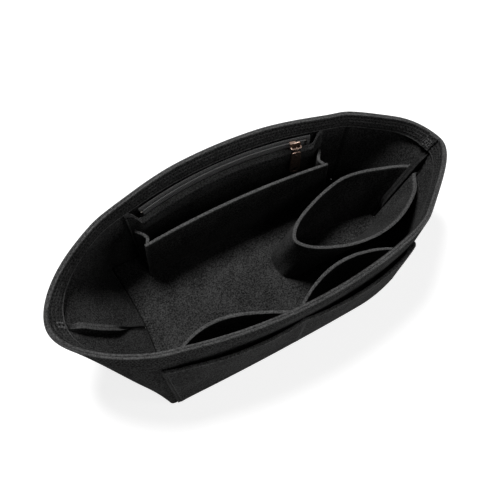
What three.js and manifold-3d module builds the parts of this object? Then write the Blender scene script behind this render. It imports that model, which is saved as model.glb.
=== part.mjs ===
// Felt organiser insert for a handbag. Lengths are in millimetres and +Z is up.
// The origin is the middle of the underside. +X points to the end with the bottle pocket,
// and -Y points to the front, which carries the outer pocket.

import * as THREE from 'three';
import Module from 'manifold-3d';
import { mergeVertices } from 'three/addons/utils/BufferGeometryUtils.js';

const wasm = await Module();
wasm.setup();

// Felt and fits
const felt = 3;
const clearance = 0.3;

// Body: a rectangular base whose walls open out to a rim shaped like a leaf
const baseLength = 250;
const baseDepth = 150;
const baseCornerRun = 13;
const leftCornerReach = 6;
const leftCornerReturn = 2;
const leftCornerBulge = 5;
const rightEndBow = 7;
const rightCornerEase = 10;
const cornerEaseStart = 60;
const frontInset = 2;
const wallHeight = 96;
const tipDrop = 7;
const leftTipReach = 65;
const rightTipReach = 59;
const rimBow = 11;
const creaseInsetX = 4;
const creaseInsetY = 8;
const seamReach = 8;
const seamRise = 5;

// Band sewn inside the rim
const bandHeight = 13.5;
const tackLength = 13;
const tackThickness = 1.5;

// Outer pocket on the front
const outerPocketDrop = 24;
const outerPocketGape = 7;
const dividerOffset = -8;

// Slip pockets inside the front
const innerPocketDrop = 26;
const innerPocketLeftEnd = 112;
const innerPocketRightEnd = 93;
const innerPocketBulge = 21;

// Bottle pocket: a loop of felt sewn to the right seam
const loopDrop = 36;
const loopReach = 138.5;
const loopBackWidth = 24;
const loopFrontWidth = 42;
const footReach = 117;
const footBackWidth = 12;
const footFrontWidth = 20;
const loopSeamGap = 2.4;

// Slip pocket with side gussets inside the back
const slipDrop = 35;
const slipFootLap = 2;
const slipTopSetback = 2;
const slipFootPlace = 47;
const slipTopPlace = 44;
const gussetMargin = 3;
const gussetInset = 7;

// Zip pocket behind it
const zipPanelDrop = 24;
const zipPanelMargin = 26;
const zipPanelEndLength = 11;
const zipPanelRiseLength = 6;
const zipDrop = 19;
const zipRadius = 340;
const zipStandOff = 3.2;

// Zip tape, coil and stops
const tapeThickness = 0.8;
const tapeDrop = 9;
const tapeMargin = 13;
const coilThickness = 1.8;
const coilHeight = 2.8;
const chainSlot = 1.2;
const coilLeftMargin = 15;
const coilRightMargin = 19;
const stopLength = 2;
const stopProud = 0.3;

// Slider, link and pull
const sliderMargin = 28;
const sliderLength = 11;
const sliderHalfHeight = 4.6;
const sliderWaistHalfHeight = 3.9;
const plateThickness = 1.2;
const railThickness = 0.4;
const railLength = 6;
const webHeight = 0.6;
const webLength = 5;
const bridgeLength = 9;
const bridgeWidth = 1.6;
const bridgeRise = 4.2;
const bridgeStrip = 1.2;
const linkWire = 0.9;
const linkRadius = 1.65;
const linkLength = 8.6;
const pullLength = 33;
const pullTopWidth = 7.4;
const pullEndWidth = 9.6;
const pullThickness = 1.5;
const pullEyeMargin = 1.4;
const pullHoleDiameter = 4.4;
const pullHoleMargin = 2.4;

// Colours and finish
const feltColour = 0x1b1b1d;
const tapeColour = 0x161618;
const coilColour = 0x101011;
const metalColour = 0x8a5a45;

// Counts of spans and segments
const sideSpans = 8;
const cornerSpans = 4;
const endSpans = 9;
const loopSpans = 44;
const arcSpans = 24;
const roundSegments = 8;

// Shares that shape the body: where the side, corner and end of a quarter of the wall meet
const sideShare = 0.56;
const cornerShare = 0.64;
const rimRoundShare = 0.05;
const leftRimShares = { leaveX: 0.55, leaveY: 0.26, tip: 0.36 };
const rightRimShares = { leaveX: 0.47, leaveY: 0.31, tip: 0.27 };
const stepShare = 0.004;
const zipPanelLeanShare = 0.85;
const pocketFootShare = 0.3;
const leftPocketPeakShare = 0.6;
const rightPocketPeakShare = 0.56;
const pocketFullShare = 0.65;
const outerPocketPeakShare = 0.5;
const sliderNoseShare = 0.35;

const halfLength = baseLength / 2;
const halfDepth = baseDepth / 2;
const frontDepthShare = (halfDepth - frontInset) / halfDepth;
const crease = new THREE.Vector2(halfLength - creaseInsetX, halfDepth - creaseInsetY);
const rimMid = halfDepth + rimBow;
const halfSeam = clearance / 2;
const floorTop = felt + clearance;

// Heights of the pockets and the zip, each set below the rim
const outerPocketHeight = wallHeight - outerPocketDrop;
const innerPocketHeight = wallHeight - innerPocketDrop;
const loopHeight = wallHeight - loopDrop;
const slipHeight = wallHeight - slipDrop;
const zipPanelHeight = wallHeight - zipPanelDrop;
const zipHeight = wallHeight - zipDrop;

// Half length of the zip pocket panel, and places inside its ends
const zipPanelHalfLength = halfLength - zipPanelMargin;
const gussetPlace = zipPanelHalfLength - gussetMargin;
const slipFootHalfLength = gussetPlace + slipFootLap;
const slipTopHalfLength = gussetPlace - slipTopSetback;
const tapeHalfLength = zipPanelHalfLength - tapeMargin;
const coilLeftEnd = zipPanelHalfLength - coilLeftMargin;
const coilRightEnd = zipPanelHalfLength - coilRightMargin;
const sliderPlace = zipPanelHalfLength - sliderMargin;

// Helpers for curves

function smooth(share) {
  const k = THREE.MathUtils.clamp(share, 0, 1);
  return k * k * (3 - 2 * k);
}

function evenShares(from, to, spans) {
  return Array.from({ length: spans + 1 }, (_, i) => from + ((to - from) * i) / spans);
}

// Side of the base from its middle towards an end, where it may ease inwards

const baseSideEnd = halfLength - baseCornerRun;
const easeRun = baseSideEnd - cornerEaseStart;

function baseSidePoint(k, ease) {
  const x = baseSideEnd * k;
  const past = Math.max(x - cornerEaseStart, 0) / easeRun;
  return new THREE.Vector2(x, halfDepth - ease * past * past);
}

// Side of the rim, bowed out between its creases

const rimSag = rimMid - crease.y;
const rimRadius = (crease.x ** 2 + rimSag ** 2) / (2 * rimSag);

function rimSidePoint(k) {
  const x = crease.x * k;
  return new THREE.Vector2(x, rimMid - rimRadius + Math.sqrt(rimRadius ** 2 - x ** 2));
}

// Curves for one end, drawn for the quarter with +X and +Y. Corner holds the two points that
// steer the base round its corner.

function endCurves(tipReach, endBow, ease, corner, rimShares) {
  const tip = new THREE.Vector2(halfLength + tipReach, 0);
  const middle = new THREE.Vector2(halfLength + endBow, 0);
  const baseEnd = new THREE.CubicBezierCurve(baseSidePoint(1, ease), ...corner, middle);
  const rimEnd = new THREE.CubicBezierCurve(
    crease,
    new THREE.Vector2(
      crease.x + rimShares.leaveX * (tip.x - crease.x),
      crease.y * (1 - rimShares.leaveY),
    ),
    new THREE.Vector2(tip.x, crease.y * rimShares.tip),
    tip,
  );
  const rimCorner = new THREE.QuadraticBezierCurve(
    rimSidePoint(1 - rimRoundShare),
    crease,
    rimEnd.getPoint(rimRoundShare),
  );
  return { tip, ease, baseEnd, rimEnd, rimCorner };
}

const leftCorner = [leftCornerReach, leftCornerReturn].map(
  (reach) => new THREE.Vector2(halfLength + reach, halfDepth + leftCornerBulge),
);
const rightCornerStart = baseSidePoint(1, rightCornerEase);
const rightCornerSlope = (2 * rightCornerEase) / easeRun;
const rightCorner = [halfLength, halfLength + rightEndBow].map(
  (x) => new THREE.Vector2(x, rightCornerStart.y - rightCornerSlope * (x - rightCornerStart.x)),
);
const leftEnd = endCurves(leftTipReach, 0, 0, leftCorner, leftRimShares);
const rightEnd = endCurves(rightTipReach, rightEndBow, rightCornerEase, rightCorner, rightRimShares);

function basePoint(end, size) {
  if (size <= sideShare) {
    return baseSidePoint(size / sideShare, end.ease);
  }
  return end.baseEnd.getPoint((size - sideShare) / (1 - sideShare));
}

function rimPoint(end, size) {
  if (size <= sideShare) {
    return rimSidePoint((size / sideShare) * (1 - rimRoundShare));
  }
  if (size <= cornerShare) {
    return end.rimCorner.getPoint((size - sideShare) / (cornerShare - sideShare));
  }
  const k = (size - cornerShare) / (1 - cornerShare);
  return end.rimEnd.getPoint(rimRoundShare + (1 - rimRoundShare) * k);
}

function rimHeight(size) {
  return wallHeight - tipDrop * smooth((size - cornerShare) / (1 - cornerShare));
}

// A point of the wall's outer face. Side is 1 at the back and -1 at the front. Share runs from
// -1 at the left tip to 1 at the right tip, and a share past a tip carries on round it. Up runs
// from 0 at the foot to 1 at the rim.

function outerPoint(side, share, up) {
  const past = Math.abs(share) > 1;
  const size = past ? 2 - Math.abs(share) : Math.abs(share);
  const end = share < 0 ? leftEnd : rightEnd;
  const plan = basePoint(end, size).lerp(rimPoint(end, size), up);
  const shownSide = past ? -side : side;
  const depthShare = shownSide > 0 ? 1 : frontDepthShare;
  return new THREE.Vector3(Math.sign(share) * plan.x, shownSide * depthShare * plan.y, up * rimHeight(size));
}

function alongWall(side, share, up) {
  return outerPoint(side, share + stepShare, up).sub(outerPoint(side, share - stepShare, up));
}

// A point at a depth inside the wall's outer face

function wallPoint(side, share, up, depth) {
  const rise = outerPoint(side, share, 1).sub(outerPoint(side, share, 0));
  const inward = alongWall(side, share, up).cross(rise).normalize();
  return outerPoint(side, share, up).addScaledVector(inward, side * depth);
}

function keepOffSeam(point, side) {
  point.y = side * Math.max(side * point.y, halfSeam);
  return point;
}

function shareAtX(x) {
  return (x / baseSideEnd) * sideShare;
}

function upAt(height) {
  return height / wallHeight;
}

const quarterShares = [
  ...evenShares(0, sideShare, sideSpans),
  ...evenShares(sideShare, cornerShare, cornerSpans).slice(1),
  ...evenShares(cornerShare, 1, endSpans).slice(1),
];
const panelShares = [...quarterShares.slice(1).reverse().map((share) => -share), ...quarterShares];

// Builds a closed solid from rows of paired points: a row for each level, a pair for each
// station along it, with one point of the pair on each face of the sheet.

function sheetSolid(rows) {
  const stations = rows[0].length;
  const points = rows.flat(2);
  const at = (row, station, face) => (row * stations + station) * 2 + face;
  const faces = [];
  const quad = (a, b, c, d) => faces.push(a, b, c, a, c, d);
  const lastRow = rows.length - 1;
  const lastStation = stations - 1;
  for (let r = 0; r < lastRow; r += 1) {
    for (let s = 0; s < lastStation; s += 1) {
      quad(at(r, s, 0), at(r, s + 1, 0), at(r + 1, s + 1, 0), at(r + 1, s, 0));
      quad(at(r, s, 1), at(r + 1, s, 1), at(r + 1, s + 1, 1), at(r, s + 1, 1));
    }
    quad(at(r, 0, 1), at(r, 0, 0), at(r + 1, 0, 0), at(r + 1, 0, 1));
    quad(at(r, lastStation, 0), at(r, lastStation, 1), at(r + 1, lastStation, 1), at(r + 1, lastStation, 0));
  }
  for (let s = 0; s < lastStation; s += 1) {
    quad(at(0, s, 0), at(0, s, 1), at(0, s + 1, 1), at(0, s + 1, 0));
    quad(at(lastRow, s, 1), at(lastRow, s, 0), at(lastRow, s + 1, 0), at(lastRow, s + 1, 1));
  }
  return outwardGeometry(points, faces);
}

function outwardGeometry(points, faces) {
  let volume = 0;
  for (let i = 0; i < faces.length; i += 3) {
    const [a, b, c] = [points[faces[i]], points[faces[i + 1]], points[faces[i + 2]]];
    volume += a.dot(new THREE.Vector3().crossVectors(b, c));
  }
  const turned = volume < 0 ? faces.slice().reverse() : faces;
  const geometry = new THREE.BufferGeometry().setFromPoints(points);
  geometry.setIndex(turned);
  return geometry;
}

// Levels the lowest row

function standAt(height, rows) {
  rows[0].flat().forEach((point) => point.setZ(height));
  return rows;
}

// Rows for a ribbon that stands on its edge: its centre line in plan at each level

function ribbonRows(levels, thickness) {
  return levels.map(({ line, height }) => line.map((point, i) => {
    const before = line[Math.max(i - 1, 0)];
    const after = line[Math.min(i + 1, line.length - 1)];
    const along = after.clone().sub(before).normalize();
    return [1, -1].map((face) => {
      const shift = (face * thickness) / 2;
      return new THREE.Vector3(point.x - along.y * shift, point.y + along.x * shift, height);
    });
  }));
}

// Joining and cutting

function toSolid(geometry) {
  const bare = geometry.clone();
  bare.deleteAttribute('normal');
  bare.deleteAttribute('uv');
  const merged = mergeVertices(bare);
  return new wasm.Manifold(new wasm.Mesh({
    numProp: 3,
    vertProperties: new Float32Array(merged.attributes.position.array),
    triVerts: new Uint32Array(merged.index.array),
  }));
}

function toGeometry(solid) {
  const mesh = solid.getMesh();
  const geometry = new THREE.BufferGeometry();
  geometry.setAttribute('position', new THREE.BufferAttribute(mesh.vertProperties, mesh.numProp));
  geometry.setIndex(Array.from(mesh.triVerts));
  return geometry;
}

function block(width, depth, height, x, y, z) {
  const geometry = new THREE.BoxGeometry(width, depth, height);
  geometry.translate(x, y, z);
  return geometry;
}

// Materials

function cloth(colour) {
  return new THREE.MeshStandardMaterial({ color: colour, roughness: 0.95, metalness: 0 });
}

function metal() {
  return new THREE.MeshStandardMaterial({ color: metalColour, roughness: 0.32, metalness: 1 });
}

const insert = new THREE.Group();
insert.name = 'organiser_insert';

function add(parent, name, geometry, material) {
  const mesh = new THREE.Mesh(geometry, material);
  mesh.name = name;
  parent.add(mesh);
  return mesh;
}

// Base: a flat panel between the feet of the walls

function basePanel() {
  const inset = felt + 2 * clearance;
  const vertical = new THREE.Vector3(0, 0, 1);
  const edge = (side) => panelShares.slice(1).map((share) => {
    const inward = alongWall(side, share, 0).cross(vertical).normalize();
    const point = outerPoint(side, share, 0).addScaledVector(inward, side * inset);
    return new THREE.Vector2(point.x, point.y);
  });
  const outline = new THREE.Shape([...edge(1), ...edge(-1).reverse()]);
  return new THREE.ExtrudeGeometry(outline, { depth: felt, bevelEnabled: false });
}

// Front and back panels: each wraps half of both ends, and its edges turn in at the side seams

const bandFoot = wallHeight - bandHeight;

function bodyPanel(side) {
  const seamTop = bandFoot - clearance;
  const middle = (floorTop + seamRise + seamTop) / 2;
  const levels = [
    { height: 0, reach: halfSeam },
    { height: floorTop, reach: halfSeam },
    { height: floorTop + seamRise, reach: seamReach },
    { height: middle, reach: seamReach },
    { height: seamTop - seamRise, reach: seamReach },
    { height: seamTop, reach: halfSeam },
    ...evenShares(bandFoot, wallHeight, 2).map((height) => ({ height, reach: halfSeam })),
  ];
  const rows = levels.map(({ height, reach }) => {
    const up = upAt(height);
    const seamCorner = (sign) => wallPoint(side, sign, up, felt - clearance);
    const seamEdge = (sign) => {
      const corner = seamCorner(sign);
      const x = corner.x - sign * reach;
      const z = outerPoint(side, sign, up).z;
      return [
        new THREE.Vector3(x, side * halfSeam, z),
        new THREE.Vector3(x, side * (halfSeam + felt), corner.z),
      ];
    };
    const pairs = panelShares.map((share) => {
      const outer = keepOffSeam(wallPoint(side, share, up, 0), side);
      if (Math.abs(share) < 1) {
        return [outer, wallPoint(side, share, up, felt)];
      }
      return [outer, seamCorner(share).setY(side * (halfSeam + felt))];
    });
    return [seamEdge(-1), ...pairs, seamEdge(1)];
  });
  return sheetSolid(standAt(0, rows));
}

// Band sewn inside the rim, one for each panel

function rimBand(side) {
  const rows = evenShares(upAt(bandFoot), 1, 2).map((up) => panelShares.map((share) => [
    keepOffSeam(wallPoint(side, share, up, felt + clearance), side),
    keepOffSeam(wallPoint(side, share, up, 2 * felt + clearance), side),
  ]));
  return sheetSolid(rows);
}

// Tack: the end of the seam allowance, folded flat over the band at the right tip

function seamTack() {
  const depth = 2 * (felt + clearance);
  const reach = ((1 - cornerShare) * tackLength) / rightEnd.tip.distanceTo(crease);
  const rows = evenShares(upAt(bandFoot), 1, 2).map((up) => evenShares(1 - reach, 1, 3).map((share) => [
    keepOffSeam(wallPoint(1, share, up, depth), 1),
    keepOffSeam(wallPoint(1, share, up, depth + tackThickness), 1),
  ]));
  return sheetSolid(rows);
}

// Both pairs of front pockets share a divider, from which each pocket swells and falls again

const divider = shareAtX(dividerOffset);

function pocketShares(leftShare, rightShare) {
  return [
    ...evenShares(leftShare, divider, sideSpans),
    ...evenShares(divider, rightShare, sideSpans).slice(1),
  ];
}

function pocketSwell(share, outerShare, peakShare) {
  const k = THREE.MathUtils.clamp((share - divider) / (outerShare - divider), 0, 1);
  return Math.sin(Math.PI * k ** (Math.log(1 / 2) / Math.log(peakShare))) ** pocketFullShare;
}

// Outer pockets: one panel, sewn down at both sides, at the bottom and along its divider

function outerPocket() {
  const top = upAt(outerPocketHeight);
  const leftShare = -cornerShare;
  const rightShare = sideShare;
  const rows = evenShares(0, 1, 4).map((k) => pocketShares(leftShare, rightShare).map((share) => {
    const outerShare = share < divider ? leftShare : rightShare;
    const gape = outerPocketGape * pocketSwell(share, outerShare, outerPocketPeakShare) * smooth(k);
    const near = -clearance - gape;
    return [wallPoint(-1, share, top * k, near), wallPoint(-1, share, top * k, near - felt)];
  }));
  return sheetSolid(standAt(0, rows));
}

// Inner pockets: one strip that swells into the insert on both sides of its divider

function innerPockets() {
  const leftShare = shareAtX(-innerPocketLeftEnd);
  const rightShare = shareAtX(innerPocketRightEnd);
  const footUp = upAt(floorTop);
  const topUp = upAt(innerPocketHeight);
  const rows = evenShares(0, 1, 4).map((k) => pocketShares(leftShare, rightShare).map((share) => {
    const up = footUp + (topUp - footUp) * k;
    const open = smooth(pocketFootShare + (1 - pocketFootShare) * k);
    const swell = share < divider
      ? pocketSwell(share, leftShare, leftPocketPeakShare)
      : pocketSwell(share, rightShare, rightPocketPeakShare);
    const near = felt + 2 * clearance + innerPocketBulge * swell * open;
    return [wallPoint(-1, share, up, near), wallPoint(-1, share, up, near + felt)];
  }));
  return sheetSolid(standAt(floorTop, rows));
}

// Bottle pocket: a loop from the right seam, round and back. Shares run from the seam (0)
// to the far end (1) along the reach, and across to the back (1) and to the front (-1).

const loopTopShares = [
  [0.06, 0.3], [0.2, 0.62], [0.34, 0.9], [0.46, 1], [0.6, 0.86], [0.76, 0.55], [0.9, 0.16],
  [0.98, -0.14], [1, -0.32], [0.95, -0.55], [0.82, -0.8], [0.65, -0.97], [0.49, -1],
  [0.33, -0.9], [0.2, -0.7], [0.1, -0.45],
];
const loopFootShares = [
  [0.1, 0.72], [0.25, 0.8], [0.4, 0.88], [0.55, 0.95], [0.72, 1], [0.9, 1], [0.98, 0.8],
  [1, 0.3], [1, -0.3], [0.98, -0.8], [0.9, -1], [0.72, -1], [0.55, -0.95],
  [0.4, -0.88], [0.25, -0.75], [0.1, -0.55],
];

function loopLine(shares, reach, backWidth, frontWidth, up) {
  const seamX = wallPoint(1, 1, up, felt).x - loopSeamGap;
  const seamY = halfSeam + felt + clearance + felt / 2;
  const points = shares.map(([along, across]) => {
    const width = across > 0 ? backWidth : frontWidth;
    return new THREE.Vector3(seamX - along * reach, across * width, 0);
  });
  const ends = [1, -1].map((side) => [
    new THREE.Vector3(seamX, side * seamY, 0),
    new THREE.Vector3(seamX - seamReach / 2, side * seamY, 0),
  ]);
  const stations = [...ends[0], ...points, ...ends[1].reverse()];
  const curve = new THREE.CatmullRomCurve3(stations, false, 'centripetal');
  return curve.getSpacedPoints(loopSpans).map((point) => new THREE.Vector2(point.x, point.y));
}

function bottleLoop() {
  const footUp = upAt(floorTop);
  const topUp = loopHeight / rimHeight(1);
  const foot = loopLine(loopFootShares, footReach, footBackWidth, footFrontWidth, footUp);
  const top = loopLine(loopTopShares, loopReach, loopBackWidth, loopFrontWidth, topUp);
  const levels = evenShares(0, 1, 4).map((k) => ({
    line: foot.map((point, i) => point.clone().lerp(top[i], k)),
    height: floorTop + (loopHeight - floorTop) * k,
  }));
  return sheetSolid(ribbonRows(levels, felt));
}

// Zip line: an arc round a far upright axis, so that everything on it follows one radius

const wallAtZip = wallPoint(1, 0, upAt(zipHeight), felt).y;
const zipCentreY = wallAtZip - zipStandOff - zipRadius;

function zipPoint(x, front, z) {
  const angle = Math.asin(x / zipRadius);
  const radius = zipRadius - front;
  return new THREE.Vector3(radius * Math.sin(angle), zipCentreY + radius * Math.cos(angle), z);
}

function zipStrip(fromX, toX, sections) {
  const rows = sections.map(({ z, back, front }) => evenShares(fromX, toX, arcSpans).map(
    (x) => [zipPoint(x, back, z), zipPoint(x, front, z)],
  ));
  return sheetSolid(rows);
}

// Zip pocket panel: rises from the floor to the zip, and its ends return to the back wall

function zipPanelTop(x) {
  const past = Math.abs(x) - (zipPanelHalfLength - zipPanelEndLength);
  return zipPanelHeight + (bandFoot - clearance - zipPanelHeight) * smooth(past / zipPanelRiseLength);
}

function zipPanelPoint(x, height, front) {
  const past = Math.abs(x) - (zipPanelHalfLength - zipPanelEndLength);
  const toWall = smooth(past / (zipPanelEndLength - clearance));
  const rise = (height - floorTop) / (zipPanelHeight - floorTop);
  const foot = wallPoint(1, shareAtX(x), upAt(floorTop), felt + front);
  const free = foot.lerp(zipPoint(x, front, height), Math.min(rise / zipPanelLeanShare, 1));
  const onWall = wallPoint(1, shareAtX(x), upAt(height), felt + clearance + front);
  return free.lerp(onWall, toWall).setZ(height);
}

function zipPanel() {
  const xs = evenShares(-zipPanelHalfLength, zipPanelHalfLength, 2 * arcSpans);
  const levelShares = [0, zipPanelLeanShare / 2, zipPanelLeanShare, 1];
  const rows = levelShares.map((k) => xs.map((x) => {
    const height = floorTop + (zipPanelTop(x) - floorTop) * k;
    return [zipPanelPoint(x, height, clearance), zipPanelPoint(x, height, clearance + felt)];
  }));
  return sheetSolid(rows);
}

// Slip pocket: a straight front and two folded gussets that reach back to the zip pocket

const slipLevels = evenShares(0, 1, 4).map((k) => ({
  half: THREE.MathUtils.lerp(slipFootHalfLength, slipTopHalfLength, k),
  place: THREE.MathUtils.lerp(slipFootPlace, slipTopPlace, k),
  height: THREE.MathUtils.lerp(floorTop, slipHeight, k),
}));

function slipFront() {
  const levels = slipLevels.map(({ half, place, height }) => ({
    line: evenShares(-half, half, 2).map((x) => new THREE.Vector2(x, place)),
    height,
  }));
  return sheetSolid(ribbonRows(levels, felt));
}

const gussetShares = [
  [0, 0], [0, 0.06], [0.4, 0.28], [0.8, 0.5], [1, 0.72], [0.75, 0.93], [0.75, 1],
];

function slipGusset(sign) {
  const levels = slipLevels.map(({ place, height }) => {
    const frontY = place + felt / 2 + clearance;
    const faceXs = [gussetPlace - felt / 2, gussetPlace + felt / 2];
    const faceYs = faceXs.map((x) => zipPanelPoint(x, height, clearance + felt).y);
    const backY = Math.min(...faceYs) - clearance;
    const points = gussetShares.map(([inset, forward]) => new THREE.Vector3(
      sign * (gussetPlace - inset * gussetInset),
      backY + (frontY - backY) * forward,
      0,
    ));
    const curve = new THREE.CatmullRomCurve3(points, false, 'centripetal');
    const line = curve.getSpacedPoints(2 * sideSpans).map((point) => new THREE.Vector2(point.x, point.y));
    return { line, height };
  });
  return sheetSolid(ribbonRows(levels, felt));
}

// Zip tape, coils and stops. Sign is 1 above the zip line and -1 below it.

function tape(sign) {
  const reach = sign > 0 ? bandFoot - clearance - zipHeight : tapeDrop;
  const sections = [chainSlot / 2, reach].map((rise) => (
    { z: zipHeight + sign * rise, back: -tapeThickness, front: 0 }
  ));
  return zipStrip(-tapeHalfLength, tapeHalfLength, sections);
}

function coil(sign) {
  const near = zipHeight + (sign * chainSlot) / 2;
  const sections = evenShares(0, 1, 3).map((k, i, all) => ({
    z: near + sign * coilHeight * k,
    back: clearance,
    front: clearance + (i === 0 || i === all.length - 1 ? coilThickness / 2 : coilThickness),
  }));
  return zipStrip(-coilLeftEnd, coilRightEnd, sections);
}

function stop(fromX, lowRise, highRise) {
  const sections = [lowRise, highRise].map((rise) => (
    { z: zipHeight + rise, back: clearance, front: clearance + coilThickness + stopProud }
  ));
  return zipStrip(fromX, fromX + stopLength, sections);
}

// Slider, in a frame whose origin is the zip line: +X runs along the zip and -Y to the front

const sliderAngle = Math.asin(sliderPlace / zipRadius);
const plateBack = -(coilThickness + 2 * clearance);
const plateFront = plateBack - plateThickness;
const backPlateFront = tapeThickness + clearance;
const backPlateBack = backPlateFront + plateThickness;

function sliderPlate(back) {
  const half = sliderLength / 2;
  const nose = sliderLength * sliderNoseShare;
  const outline = new THREE.Shape();
  outline.moveTo(-half, -sliderWaistHalfHeight);
  outline.lineTo(half - nose, -sliderWaistHalfHeight);
  outline.lineTo(half - nose / 2, -sliderHalfHeight);
  outline.quadraticCurveTo(half, -sliderHalfHeight, half, 0);
  outline.quadraticCurveTo(half, sliderHalfHeight, half - nose / 2, sliderHalfHeight);
  outline.lineTo(half - nose, sliderWaistHalfHeight);
  outline.lineTo(-half, sliderWaistHalfHeight);
  outline.closePath();
  const geometry = new THREE.ExtrudeGeometry(outline, {
    depth: plateThickness, bevelEnabled: false, curveSegments: roundSegments,
  });
  geometry.rotateX(Math.PI / 2);
  geometry.translate(0, back, 0);
  return geometry;
}

function sliderBody() {
  const webDepth = backPlateBack - plateFront - plateThickness;
  const web = block(webLength, webDepth, webHeight, 0, (backPlateBack + plateFront) / 2, 0);
  const railDepth = coilThickness + plateThickness / 2;
  const rails = [1, -1].map((sign) => block(
    railLength,
    railDepth,
    railThickness,
    (railLength - sliderLength) / 2,
    plateFront + (plateThickness + railDepth) / 2,
    sign * (sliderWaistHalfHeight - railThickness / 2),
  ));
  const pieces = [sliderPlate(plateBack), sliderPlate(backPlateBack), web, ...rails];
  return toGeometry(pieces.map(toSolid).reduce((whole, piece) => whole.add(piece)));
}

const bridgeFoot = plateFront - clearance;

function sliderBridge() {
  const half = bridgeLength / 2;
  const innerHalf = half - bridgeStrip;
  const innerRise = bridgeRise - bridgeStrip;
  const outline = new THREE.Shape();
  outline.moveTo(-half, 0);
  outline.bezierCurveTo(-half, -bridgeRise, -half, -bridgeRise, 0, -bridgeRise);
  outline.bezierCurveTo(half, -bridgeRise, half, -bridgeRise, half, 0);
  outline.lineTo(innerHalf, 0);
  outline.bezierCurveTo(innerHalf, -innerRise, innerHalf, -innerRise, 0, -innerRise);
  outline.bezierCurveTo(-innerHalf, -innerRise, -innerHalf, -innerRise, -innerHalf, 0);
  outline.closePath();
  const geometry = new THREE.ExtrudeGeometry(outline, {
    depth: bridgeWidth, bevelEnabled: false, curveSegments: roundSegments,
  });
  geometry.translate(0, bridgeFoot, -bridgeWidth / 2);
  return geometry;
}

// Link: an oval ring round the bridge. Its frame's origin is the middle of the bridge's bar.

const bridgeBar = bridgeFoot - bridgeRise + bridgeStrip / 2;
const linkDrop = linkLength - linkRadius;

function ovalPath(path, radius, drop) {
  path.absarc(0, 0, radius, 0, Math.PI);
  path.absarc(0, -drop, radius, Math.PI, 2 * Math.PI);
  path.closePath();
  return path;
}

function link() {
  const drop = linkDrop - linkRadius;
  const outline = ovalPath(new THREE.Shape(), linkRadius + linkWire / 2, drop);
  outline.holes.push(ovalPath(new THREE.Path(), linkRadius - linkWire / 2, drop));
  const geometry = new THREE.ExtrudeGeometry(outline, {
    depth: linkWire, bevelEnabled: false, curveSegments: roundSegments,
  });
  geometry.translate(0, 0, -linkWire / 2);
  geometry.rotateX(Math.PI / 2);
  geometry.rotateZ(Math.PI / 2);
  return geometry;
}

// Pull: a flat tab that hangs in the link. Its frame's origin is the middle of its eye's bar.

const eyeFoot = linkWire + 2 * clearance;
const pullDrop = linkDrop + linkWire / 2 - linkWire - clearance - pullEyeMargin / 2;

function pullTab() {
  const top = pullEyeMargin / 2;
  const foot = top - pullLength;
  const halfTop = pullTopWidth / 2;
  const halfEnd = pullEndWidth / 2;
  const outline = new THREE.Shape();
  outline.moveTo(-halfTop + pullEyeMargin, top);
  outline.quadraticCurveTo(-halfTop, top, -halfTop, top - pullEyeMargin);
  outline.lineTo(-halfEnd, foot + halfEnd);
  outline.absarc(0, foot + halfEnd, halfEnd, Math.PI, 2 * Math.PI);
  outline.lineTo(halfTop, top - pullEyeMargin);
  outline.quadraticCurveTo(halfTop, top, halfTop - pullEyeMargin, top);
  outline.closePath();
  const eye = new THREE.Path();
  const eyeHalf = linkWire / 2 + clearance;
  eye.moveTo(-eyeHalf, -top);
  eye.lineTo(-eyeHalf, -top - eyeFoot);
  eye.lineTo(eyeHalf, -top - eyeFoot);
  eye.lineTo(eyeHalf, -top);
  eye.closePath();
  const hole = new THREE.Path();
  const holeRadius = pullHoleDiameter / 2;
  hole.absarc(0, foot + pullHoleMargin + holeRadius, holeRadius, 0, 2 * Math.PI);
  outline.holes.push(eye, hole);
  const geometry = new THREE.ExtrudeGeometry(outline, {
    depth: pullThickness, bevelEnabled: false, curveSegments: roundSegments,
  });
  geometry.rotateX(Math.PI / 2);
  geometry.translate(0, pullThickness / 2, 0);
  return geometry;
}

// Assembly

const feltCloth = cloth(feltColour);
add(insert, 'base_panel', basePanel(), feltCloth.clone());
add(insert, 'front_body_panel', bodyPanel(-1), feltCloth.clone());
add(insert, 'back_body_panel', bodyPanel(1), feltCloth.clone());
add(insert, 'front_rim_band', rimBand(-1), feltCloth.clone());
add(insert, 'back_rim_band', rimBand(1), feltCloth.clone());
add(insert, 'right_seam_tack', seamTack(), feltCloth.clone());
add(insert, 'outer_pocket_panel', outerPocket(), feltCloth.clone());
add(insert, 'inner_pocket_strip', innerPockets(), feltCloth.clone());
add(insert, 'bottle_pocket_loop', bottleLoop(), feltCloth.clone());
add(insert, 'zip_pocket_panel', zipPanel(), feltCloth.clone());
add(insert, 'slip_pocket_front', slipFront(), feltCloth.clone());
add(insert, 'slip_pocket_gusset_left', slipGusset(-1), feltCloth.clone());
add(insert, 'slip_pocket_gusset_right', slipGusset(1), feltCloth.clone());
add(insert, 'zip_tape_upper', tape(1), cloth(tapeColour));
add(insert, 'zip_tape_lower', tape(-1), cloth(tapeColour));
add(insert, 'zip_coil_upper', coil(1), cloth(coilColour));
add(insert, 'zip_coil_lower', coil(-1), cloth(coilColour));

const slotHalf = chainSlot / 2;
const chainHalf = slotHalf + coilHeight;
const topStopPlace = coilRightEnd + clearance;
const bottomStopPlace = -coilLeftEnd - clearance - stopLength;
add(insert, 'zip_top_stop_upper', stop(topStopPlace, slotHalf, chainHalf), metal());
add(insert, 'zip_top_stop_lower', stop(topStopPlace, -chainHalf, -slotHalf), metal());
add(insert, 'zip_bottom_stop', stop(bottomStopPlace, -chainHalf, chainHalf), metal());

const zipArm = new THREE.Group();
zipArm.position.set(0, zipCentreY, zipHeight);
zipArm.rotation.z = -sliderAngle;
insert.add(zipArm);

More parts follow.
